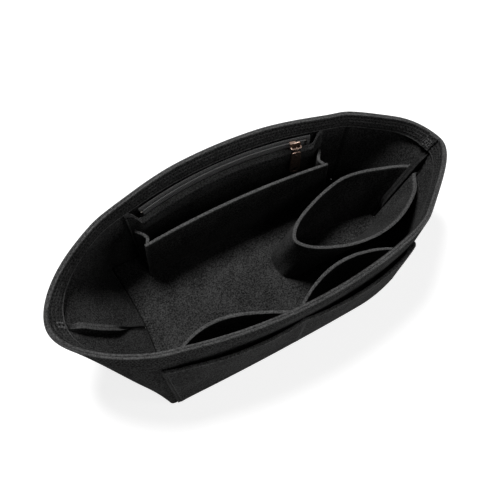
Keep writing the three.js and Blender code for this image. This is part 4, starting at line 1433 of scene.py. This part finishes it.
def slip_stitches():
    """A row down each side of the slip pocket's front, where the gussets are sewn on."""
    rows = []
    for sign in (-1, 1):
        heights, halves, places = slip_levels()
        x = sign * (halves - PANEL_ROW_DROP)
        y = places + slip_bow(x, heights) - FELT / 2
        line = np.stack([x, y, heights], -1)[1:-1]
        rows.append((line, np.tile(np.array([0, -1.0, 0]), (len(line), 1))))
    return sewn("slip_pocket_stitches", rows)


def slip_gusset(sign, name, node):
    heights, _, places = slip_levels()
    lines = []
    for height, place in zip(heights, places):
        front_y = place + FELT / 2 + LAYER_GAP
        faces = [GUSSET_PLACE - FELT / 2, GUSSET_PLACE + FELT / 2]
        back_y = min(zip_panel_point(x, height, CLEARANCE + FELT)[1] for x in faces) - LAYER_GAP
        points = [
            (sign * (GUSSET_PLACE - inset * GUSSET_INSET), back_y + (front_y - back_y) * forward)
            for inset, forward in GUSSET_SHARES
        ]
        lines.append(smooth_curve(points, GUSSET_STATIONS))
    near, far = ribbon(lines, heights, FELT)
    return felt_panel(name, near, far, node)


# Base


def base_outline(height, gap):
    """The outline of the base at a height, along the inside of the leaning walls."""
    parts = []
    for side in (1, -1):
        shares = side * even_shares(side, -1, 1)[:-1]
        parts.append(wall(side, shares, up_at(height), FELT + LAYER_GAP + gap)[:, :2])
    return np.vstack(parts)


def level_ring(outline, height, share=1.0):
    centre = outline.mean(0)
    return np.column_stack([mix(centre, outline, share), np.full(len(outline), float(height))])


def base_felt():
    low, snug = base_outline(0, 0), base_outline(FELT, 0)
    high = base_outline(FELT, FLOOR_SIDE_GAP)
    rings = [level_ring(low, 0, share) for share in BASE_RING_SHARES]
    edge_top = FELT - FLOOR_EDGE_DROP
    rings += [level_ring(mix(low, snug, k * edge_top / FELT), edge_top * k) for k in BASE_EDGE_SHARES]
    for share in BASE_RING_SHARES[::-1]:
        fall = (share - BASE_DROP_START_SHARE) / (1 - BASE_DROP_START_SHARE)
        rings.append(level_ring(high, FELT - FLOOR_EDGE_DROP * max(fall, 0) ** 2, share))
    points = np.stack(rings)
    ids = np.arange(points.shape[0] * points.shape[1]).reshape(points.shape[:2])
    quads = grid_faces(np.hstack([ids, ids[:, :1]]))
    points = points.reshape(-1, 3)
    caps = [ids[0][::-1], ids[-1]]
    turned = turned_out(points, quads)
    if turned[0, 0] != quads[0, 0]:
        caps = [cap[::-1] for cap in caps]
    faces = [*turned.tolist(), *[cap.tolist() for cap in caps]]
    made = new_object("base_felt", settled(points), faces, FLOOR_FELT_PAINTED_LIGHTER)
    set_point_value(made, "cut_edge_and_painted_highlight", np.zeros(len(points)))
    # Painted shade: the rings at the base's edge, where it meets the walls, are darkened
    deep = np.zeros(ids.shape)
    deep[len(BASE_RING_SHARES) : -FLAT_RING_COUNT] = SEAM_PAINTED_SHADE
    set_point_value(made, "deep", deep.ravel())
    stand_for(made, "insert", "base_panel")
    return made


# Zip tape, coil and stops


def zip_tape(sign, name, node):
    reach = BAND_FOOT - CLEARANCE - ZIP_HEIGHT if sign > 0 else TAPE_DROP
    rises = even_steps(CHAIN_SLOT / 2, reach)[:, None]
    lean = TAPE_LEAN if sign > 0 else 0
    back = lean * (rises / reach) ** TAPE_LEAN_POWER
    xs = even_steps(-TAPE_HALF_LENGTH, TAPE_HALF_LENGTH)[None]
    z = ZIP_HEIGHT + sign * rises
    points, faces, _ = slab(zip_point(xs, -TAPE_THICKNESS - back, z), zip_point(xs, -back, z))
    return stand_for(new_object(name, points, faces, TAPE_CLOTH), "insert", node)


def zip_coil(sign, name, node):
    turns = (COIL_LEFT_END + COIL_RIGHT_END) / COIL_PITCH
    t = np.linspace(0, turns, int(turns * COIL_TURN_STEPS))
    x = -COIL_LEFT_END + COIL_PITCH * (t + (0.5 if sign < 0 else 0))
    x = np.minimum(x, COIL_RIGHT_END)
    angle = 2 * math.pi * t
    half = (COIL_HEIGHT + CHAIN_SLOT / 2) / 2 - COIL_WIRE
    middle = ZIP_HEIGHT + sign * (half + COIL_WIRE / 2)
    depth = COIL_THICKNESS / 2 - COIL_WIRE
    z = middle + half * np.cos(angle)
    front = CLEARANCE + COIL_THICKNESS / 2 + depth * np.sin(angle)
    points, faces = tube(zip_point(x, front, z), COIL_WIRE, COIL_SIDES)
    return stand_for(new_object(name, points, faces, COIL_NYLON), "insert", node)


def zip_stop(name, node, from_x, low_rise, high_rise):
    z = ZIP_HEIGHT + np.linspace(low_rise, high_rise, STOP_STEPS)[:, None]
    xs = np.linspace(from_x, from_x + STOP_LENGTH, STOP_STEPS)[None]
    front = CLEARANCE + COIL_THICKNESS + STOP_PROUD
    points, faces, _ = slab(zip_point(xs, CLEARANCE, z), zip_point(xs, front, z))
    return stand_for(new_object(name, points, faces, STOP_METAL), "insert", node)


def zip_stops():
    slot_half = CHAIN_SLOT / 2
    chain_half = slot_half + COIL_HEIGHT
    top_place = COIL_RIGHT_END + CLEARANCE
    bottom_place = -COIL_LEFT_END - CLEARANCE - STOP_LENGTH
    zip_stop("stop_top_upper", "zip_top_stop_upper", top_place, slot_half, chain_half)
    zip_stop("stop_top_lower", "zip_top_stop_lower", top_place, -chain_half, -slot_half)
    zip_stop("stop_bottom", "zip_bottom_stop", bottom_place, -chain_half, chain_half)


# Slider, bridge, link and pull, in a frame on the zip line: +X along the zip and -Y to the front


SLIDER_ANGLE = math.asin(SLIDER_PLACE / ZIP_RADIUS)
PLATE_BACK = -(COIL_THICKNESS + 2 * CLEARANCE)
PLATE_FRONT = PLATE_BACK - PLATE_THICKNESS
BACK_PLATE_FRONT = TAPE_THICKNESS + CLEARANCE
BACK_PLATE_BACK = BACK_PLATE_FRONT + PLATE_THICKNESS
BRIDGE_BAR = PLATE_FRONT - CLEARANCE - BRIDGE_RISE + BRIDGE_STRIP / 2
LINK_DROP = LINK_LENGTH - LINK_RADIUS
PULL_DROP = LINK_DROP + LINK_WIRE / 2 - LINK_WIRE - CLEARANCE - PULL_EYE_MARGIN / 2


def slider_matrix():
    turn = Matrix.Rotation(-SLIDER_ANGLE, 4, "Z")
    centre = Matrix.Translation(Vector((0, ZIP_CENTRE_Y, ZIP_HEIGHT)) * MM)
    return centre @ turn @ Matrix.Translation(Vector((0, ZIP_RADIUS, 0)) * MM)


SLIDER_FRAME = slider_matrix()


def curve_plate(name, outlines, thickness, rounding):
    """A mesh plate in X and Y with holes and rounded edges, from closed outlines."""
    curve = bpy.data.curves.new(name, "CURVE")
    curve.dimensions = "2D"
    curve.fill_mode = "BOTH"
    curve.extrude = (thickness / 2 - rounding) * MM
    curve.bevel_depth = rounding * MM
    curve.bevel_resolution = PLATE_EDGE_STEPS
    curve.offset = -rounding * MM
    for outline in outlines:
        spline = curve.splines.new("POLY")
        spline.points.add(len(outline) - 1)
        for point, (x, y) in zip(spline.points, outline):
            point.co = (x * MM, y * MM, 0, 1)
        spline.use_cyclic_u = True
    holder = bpy.data.objects.new(name, curve)
    mesh = bpy.data.meshes.new_from_object(holder)
    bpy.data.objects.remove(holder)
    bpy.data.curves.remove(curve)
    return mesh


def placed(mesh, matrix):
    mesh.transform(matrix)
    return mesh


def merged(name, meshes, material):
    """One object from several meshes."""
    parts = []
    for mesh in meshes:
        holder = bpy.data.objects.new(name, mesh)
        bpy.context.scene.collection.objects.link(holder)
        parts.append(holder)
    main = parts[0]
    with bpy.context.temp_override(active_object=main, selected_editable_objects=parts, object=main):
        if len(parts) > 1:
            bpy.ops.object.join()
    main.name = name
    main.data.name = name
    main.data.materials.clear()
    main.data.materials.append(material)
    return main


def shade(made):
    made.data.shade_smooth()
    made.data.set_sharp_from_angle(angle=math.radians(SHARP_ANGLE))


def arc(centre, radius, start, stop, count):
    angles = np.linspace(start, stop, count)
    return [(centre[0] + radius * math.cos(a), centre[1] + radius * math.sin(a)) for a in angles]


def slider_outline():
    half = SLIDER_LENGTH / 2
    nose = SLIDER_LENGTH * SLIDER_NOSE_SHARE
    tall, waist = SLIDER_HALF_HEIGHT, SLIDER_WAIST_HALF_HEIGHT
    controls = [(half - nose / 2, -tall), (half, -tall), (half, 0)]
    turn = [tuple(bezier(controls, k)) for k in np.linspace(0, 1, NOSE_STEPS)]
    lower = [(-half, -waist), (half - nose, -waist), *turn]
    upper = [(x, -y) for x, y in reversed(lower[:-1])]
    return [*lower, *upper]


def facing_front(y):
    """Turns a plate drawn in X and Y to face the front, with its middle at y."""
    return Matrix.Translation(Vector((0, y, 0)) * MM) @ Matrix.Rotation(math.pi / 2, 4, "X")


def box_mesh(name, width, depth, height, centre):
    outline = [(x * width / 2, y * depth / 2) for x, y in SQUARE_CORNERS]
    rounding = min(METAL_ROUND, *(side * BOX_ROUND_SHARE for side in (height, width, depth)))
    mesh = curve_plate(name, [outline], height, rounding)
    return placed(mesh, Matrix.Translation(Vector(centre) * MM))


def finish_metal(made, body, node):
    made.data.transform(SLIDER_FRAME)
    shade(made)
    return stand_for(made, body, node)


def slider_body():
    outline = slider_outline()
    front = curve_plate("front_plate", [outline], PLATE_THICKNESS, METAL_ROUND)
    back = curve_plate("back_plate", [outline], PLATE_THICKNESS, METAL_ROUND)
    placed(front, facing_front((PLATE_BACK + PLATE_FRONT) / 2))
    placed(back, Matrix.Diagonal((1, BACK_PLATE_SHARE, 1, 1)))
    placed(back, facing_front((BACK_PLATE_BACK + BACK_PLATE_FRONT) / 2))
    web_depth = BACK_PLATE_BACK - PLATE_FRONT - PLATE_THICKNESS
    web = box_mesh("web", WEB_LENGTH, web_depth, WEB_HEIGHT, (0, (BACK_PLATE_BACK + PLATE_FRONT) / 2, 0))
    rail_depth = COIL_THICKNESS + PLATE_THICKNESS / 2
    rails = [
        box_mesh("rail", RAIL_LENGTH, rail_depth, RAIL_THICKNESS, (
            (RAIL_LENGTH - SLIDER_LENGTH) / 2,
            PLATE_FRONT + (PLATE_THICKNESS + rail_depth) / 2,
            sign * (SLIDER_WAIST_HALF_HEIGHT - RAIL_THICKNESS / 2),
        ))
        for sign in (1, -1)
    ]
    made = merged("slider_body_metal", [front, back, web, *rails], METAL)
    return finish_metal(made, "slider", "zip_slider_body")


def bridge_arch(half, rise):
    controls = [(half, 0), (half, -rise), (half, -rise), (0, -rise)]
    line = [tuple(bezier(controls, k)) for k in np.linspace(0, 1, ARCH_STEPS)]
    return [*line, *((-x, y) for x, y in reversed(line[:-1]))]


def slider_bridge():
    half = BRIDGE_LENGTH / 2
    outer = bridge_arch(-half, BRIDGE_RISE)
    low = bridge_arch(half - BRIDGE_STRIP, BRIDGE_RISE - BRIDGE_STRIP)
    mesh = curve_plate("bridge", [[*outer, *low]], BRIDGE_WIDTH, METAL_ROUND)
    placed(mesh, Matrix.Translation(Vector((0, PLATE_FRONT - CLEARANCE, 0)) * MM))
    return finish_metal(merged("slider_bridge_metal", [mesh], METAL), "slider", "zip_slider_bridge")


def pull_link():
    drop = LINK_DROP - LINK_RADIUS
    top = arc((0, 0), LINK_RADIUS, 0, math.pi, RING_STEPS)
    foot = arc((0, -drop), LINK_RADIUS, math.pi, 2 * math.pi, RING_STEPS)
    line = np.array([(0, BRIDGE_BAR + y, z) for y, z in [*top, *foot]])
    points, faces = tube(line, LINK_WIRE / 2, RING_SIDES, closed=True)
    made = new_object("pull_link_metal", points, faces, METAL)
    return finish_metal(made, "link", "zip_pull_link")


def pull_tab():
    top = PULL_EYE_MARGIN / 2
    foot = top - PULL_LENGTH
    half_top, half_end = PULL_TOP_WIDTH / 2, PULL_END_WIDTH / 2
    lower = arc((0, foot + half_end), half_end, math.pi, 2 * math.pi, TAB_END_STEPS)
    margin = PULL_EYE_MARGIN
    right = arc((half_top - margin, top - margin), margin, 0, math.pi / 2, TAB_CORNER_STEPS)
    left = [(-x, y) for x, y in reversed(right)]
    eye_half = LINK_WIRE / 2 + CLEARANCE
    eye_foot = LINK_WIRE + 2 * CLEARANCE
    eye_left = [(-eye_half, -top), (-eye_half, -top - eye_foot)]
    eye = [*eye_left, *((-x, y) for x, y in reversed(eye_left))]
    radius = PULL_HOLE_DIAMETER / 2
    hole = arc((0, foot + PULL_HOLE_MARGIN + radius), radius, 0, 2 * math.pi, TAB_HOLE_STEPS)[:-1]
    mesh = curve_plate("tab", [[*lower, *right, *left], eye, hole], PULL_THICKNESS, METAL_ROUND)
    placed(mesh, Matrix.Rotation(math.pi / 2, 4, "X"))
    placed(mesh, Matrix.Translation(Vector((0, BRIDGE_BAR, -PULL_DROP)) * MM))
    return finish_metal(merged("pull_tab_metal", [mesh], METAL), "pull", "zip_pull_tab")


# Floor, light and camera


def floor():
    corners = [(x * FLOOR_HALF, y * FLOOR_HALF, 0) for x, y in SQUARE_CORNERS]
    made, tree = new_material("pale_floor")
    path = add_node(tree, "ShaderNodeLightPath")
    seen = math_of(tree, "MAXIMUM", path.outputs["Is Camera Ray"], path.outputs["Is Glossy Ray"])
    seen = math_of(tree, "MAXIMUM", seen, path.outputs["Is Transmission Ray"])
    strength = math_of(tree, "MULTIPLY", seen, FLOOR_GLOW)
    glow = add_node(tree, "ShaderNodeEmission", {"Color": (1, 1, 1, 1), "Strength": strength})
    grey = (FLOOR_GREY, FLOOR_GREY, FLOOR_GREY, 1)
    diffuse = add_node(tree, "ShaderNodeBsdfDiffuse", {"Color": grey})
    both = add_node(tree, "ShaderNodeAddShader", {0: glow.outputs[0], 1: diffuse.outputs[0]})
    finish_material(tree, both)
    plane = new_object("floor", np.array(corners) / MM, [(0, 1, 2, 3)], made)
    plane.location.z = -FLOOR_DROP


def area_light(name, place, size, watts):
    data = bpy.data.lights.new(name, "AREA")
    data.shape = "DISK"
    data.size = size
    data.energy = watts
    lamp = bpy.data.objects.new(name, data)
    lamp.location = place
    way = Vector(AIM) - Vector(place)
    lamp.rotation_euler = way.to_track_quat("-Z", "Y").to_euler()
    bpy.context.scene.collection.objects.link(lamp)


def world():
    made = bpy.data.worlds.new("soft_world")
    made.use_nodes = True
    tree = made.node_tree
    background = tree.nodes["Background"]
    background.inputs["Color"].default_value = (1, 1, 1, 1)
    path = add_node(tree, "ShaderNodeLightPath")
    seen = math_of(tree, "MAXIMUM", path.outputs["Is Camera Ray"], path.outputs["Is Transmission Ray"])
    glossy = math_of(tree, "MULTIPLY", path.outputs["Is Glossy Ray"], GLOSSY_SHARE)
    seen = math_of(tree, "MAXIMUM", seen, glossy)
    strength = add_node(tree, "ShaderNodeMapRange", {"Value": seen, "To Min": WORLD_STRENGTH, "To Max": 1.0})
    tree.links.new(strength.outputs[0], background.inputs["Strength"])
    bpy.context.scene.world = made


def camera():
    data = bpy.data.cameras.new("photo_camera")
    data.sensor_width = SENSOR_WIDTH
    data.lens = FOCAL_PIXELS * SENSOR_WIDTH / PHOTO_WIDTH
    data.clip_start = CLIP_START
    data.clip_end = CLIP_END
    made = bpy.data.objects.new("photo_camera", data)
    yaw, pitch = CAMERA_YAW, CAMERA_PITCH
    level = math.cos(pitch)
    forward = Vector((math.sin(yaw) * level, math.cos(yaw) * level, -math.sin(pitch)))
    right = Vector((math.cos(yaw), -math.sin(yaw), 0))
    up = right.cross(forward)
    turn = Matrix((right, up, -forward)).transposed().to_4x4()
    made.matrix_world = Matrix.Translation(Vector(CAMERA_PLACE) * MM) @ turn
    bpy.context.scene.collection.objects.link(made)
    bpy.context.scene.camera = made


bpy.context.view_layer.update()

camera()
world()
floor()
for light in LIGHTS:
    area_light(*light)

body_panel(-1, "front_body_felt", "front_body_panel")
body_panel(1, "back_body_felt", "back_body_panel")
rim_band(-1, "front_band_felt", "front_rim_band")
rim_band(1, "back_band_felt", "back_rim_band")
rim_stitches(-1, "front_rim_stitches")
rim_stitches(1, "back_rim_stitches")
seam_tack()
tip_stitches()
outer_pocket()
outer_pocket_stitches()
inner_pockets()
inner_pocket_stitches()
bottle_loop()
zip_panel()
zip_panel_stitches()
slip_front()
slip_stitches()
slip_gusset(-1, "gusset_left_felt", "slip_pocket_gusset_left")
slip_gusset(1, "gusset_right_felt", "slip_pocket_gusset_right")
base_felt()
zip_tape(1, "tape_upper_woven", "zip_tape_upper")
zip_tape(-1, "tape_lower_woven", "zip_tape_lower")
zip_coil(1, "coil_upper_nylon", "zip_coil_upper")
zip_coil(-1, "coil_lower_nylon", "zip_coil_lower")
zip_stops()
slider_body()
slider_bridge()
pull_link()
pull_tab()

bpy.context.scene.view_settings.view_transform = "Standard"
